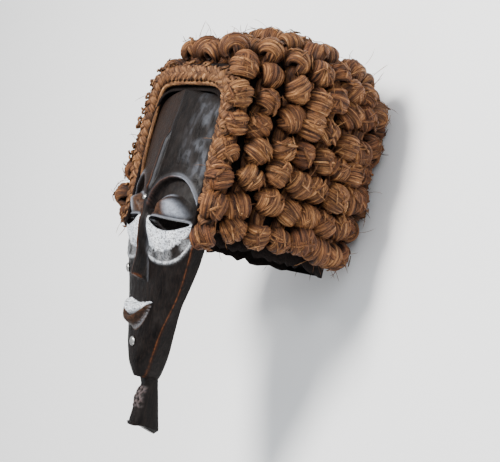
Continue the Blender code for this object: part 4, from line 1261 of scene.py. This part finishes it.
def make_camera():
    towards = mask_axis(math.cos(VIEW_RISE) * math.cos(VIEW_TURN), math.cos(VIEW_RISE) * math.sin(VIEW_TURN),
                        math.sin(VIEW_RISE))
    right = mask_axis(-math.sin(VIEW_TURN), math.cos(VIEW_TURN), 0.0)
    up = towards.cross(right)
    aim = PLACE + METRES_PER_PIXEL * ((IMAGE_SIZE[0] / 2 - BRIDGE_PIXEL[0]) * right
                                      + (BRIDGE_PIXEL[1] - IMAGE_SIZE[1] / 2) * up)
    data = bpy.data.cameras.new("camera")
    data.sensor_fit = "HORIZONTAL"
    data.sensor_width = SENSOR_WIDTH
    data.lens = SENSOR_WIDTH * VIEW_DISTANCE / (IMAGE_SIZE[0] * METRES_PER_PIXEL)
    camera = bpy.data.objects.new("camera", data)
    turn = Matrix((right, up, towards)).transposed().to_4x4()
    camera.matrix_world = Matrix.Translation(aim + towards * VIEW_DISTANCE) @ turn
    bpy.context.scene.collection.objects.link(camera)
    bpy.context.scene.camera = camera


def area_light(name, place, aim, size, power, colour=(1, 1, 1)):
    data = bpy.data.lights.new(name, "AREA")
    data.shape = "DISK"
    data.size = size
    data.energy = power
    data.color = colour
    light = bpy.data.objects.new(name, data)
    place = Vector(place)
    turn = (Vector(aim) - place).to_track_quat("-Z", "Y").to_matrix().to_4x4()
    light.matrix_world = Matrix.Translation(place) @ turn
    bpy.context.scene.collection.objects.link(light)


def make_stage():
    half = FLOOR_HALF
    corners = [(-half, -half, 0), (half, -half, 0), (half, half, 0), (-half, half, 0)]
    mesh = bpy.data.meshes.new("floor")
    mesh.from_pydata(corners, [], [(0, 1, 2, 3)])
    mesh.materials.append(floor_material())
    floor = bpy.data.objects.new("floor", mesh)
    bpy.context.scene.collection.objects.link(floor)
    world = bpy.data.worlds.new("studio")
    bpy.context.scene.world = world
    world.use_nodes = True
    world.node_tree.nodes["Background"].inputs["Color"].default_value = (0.93, 0.96, 1.0, 1.0)
    world.node_tree.nodes["Background"].inputs["Strength"].default_value = SKY_STRENGTH
    centre = (0.0, 0.02, 0.15)
    area_light("key", (0.1, 0.7, 1.9), centre, 0.7, KEY_POWER, (1.0, 0.98, 0.95))
    area_light("side", (1.7, 0.6, 1.2), centre, 1.0, SIDE_POWER, (0.88, 0.94, 1.0))
    area_light("low", (0.5, -1.6, 0.9), centre, 1.2, LOW_POWER)


def main():
    make_camera()
    make_stage()
    wood = wood_material()
    knot_fibre = fibre_material("knotted_raffia", (0.026, 0.009, 0.003), (0.098, 0.035, 0.010),
                                (0.285, 0.127, 0.042), (0.66, 0.43, 0.215))
    plait_fibre = fibre_material("plaited_raffia", (0.013, 0.005, 0.002), (0.120, 0.050, 0.017),
                                 (0.300, 0.150, 0.060), (0.62, 0.41, 0.21))
    metal = metal_material()
    net = net_material()
    knots, places = raffia_knots(knot_fibre)
    dressed = [(carved_face(wood), "carved_face", "stained_wood"),
               (post_mesh(wood), "carved_face", "stained_wood"),
               (braid(plait_fibre), "raffia_braid", "plaited_raffia"),
               (lining(net), "net_lining", "dark_net")]
    dressed += [(knot, "raffia_knots", "knotted_raffia") for knot in knots]
    dressed += [(dome, name, "tack_metal") for name, dome in tack_domes(metal)]
    for piece, node, slot in dressed:
        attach(piece, "root")
        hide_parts(node)
    strips = loose_strips(knot_fibre, places)
    curls = edge_curls(plait_fibre)
    for piece, slot in ((strips, "knotted_raffia"), (curls, "plaited_raffia")):
        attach(piece, "root")


main()
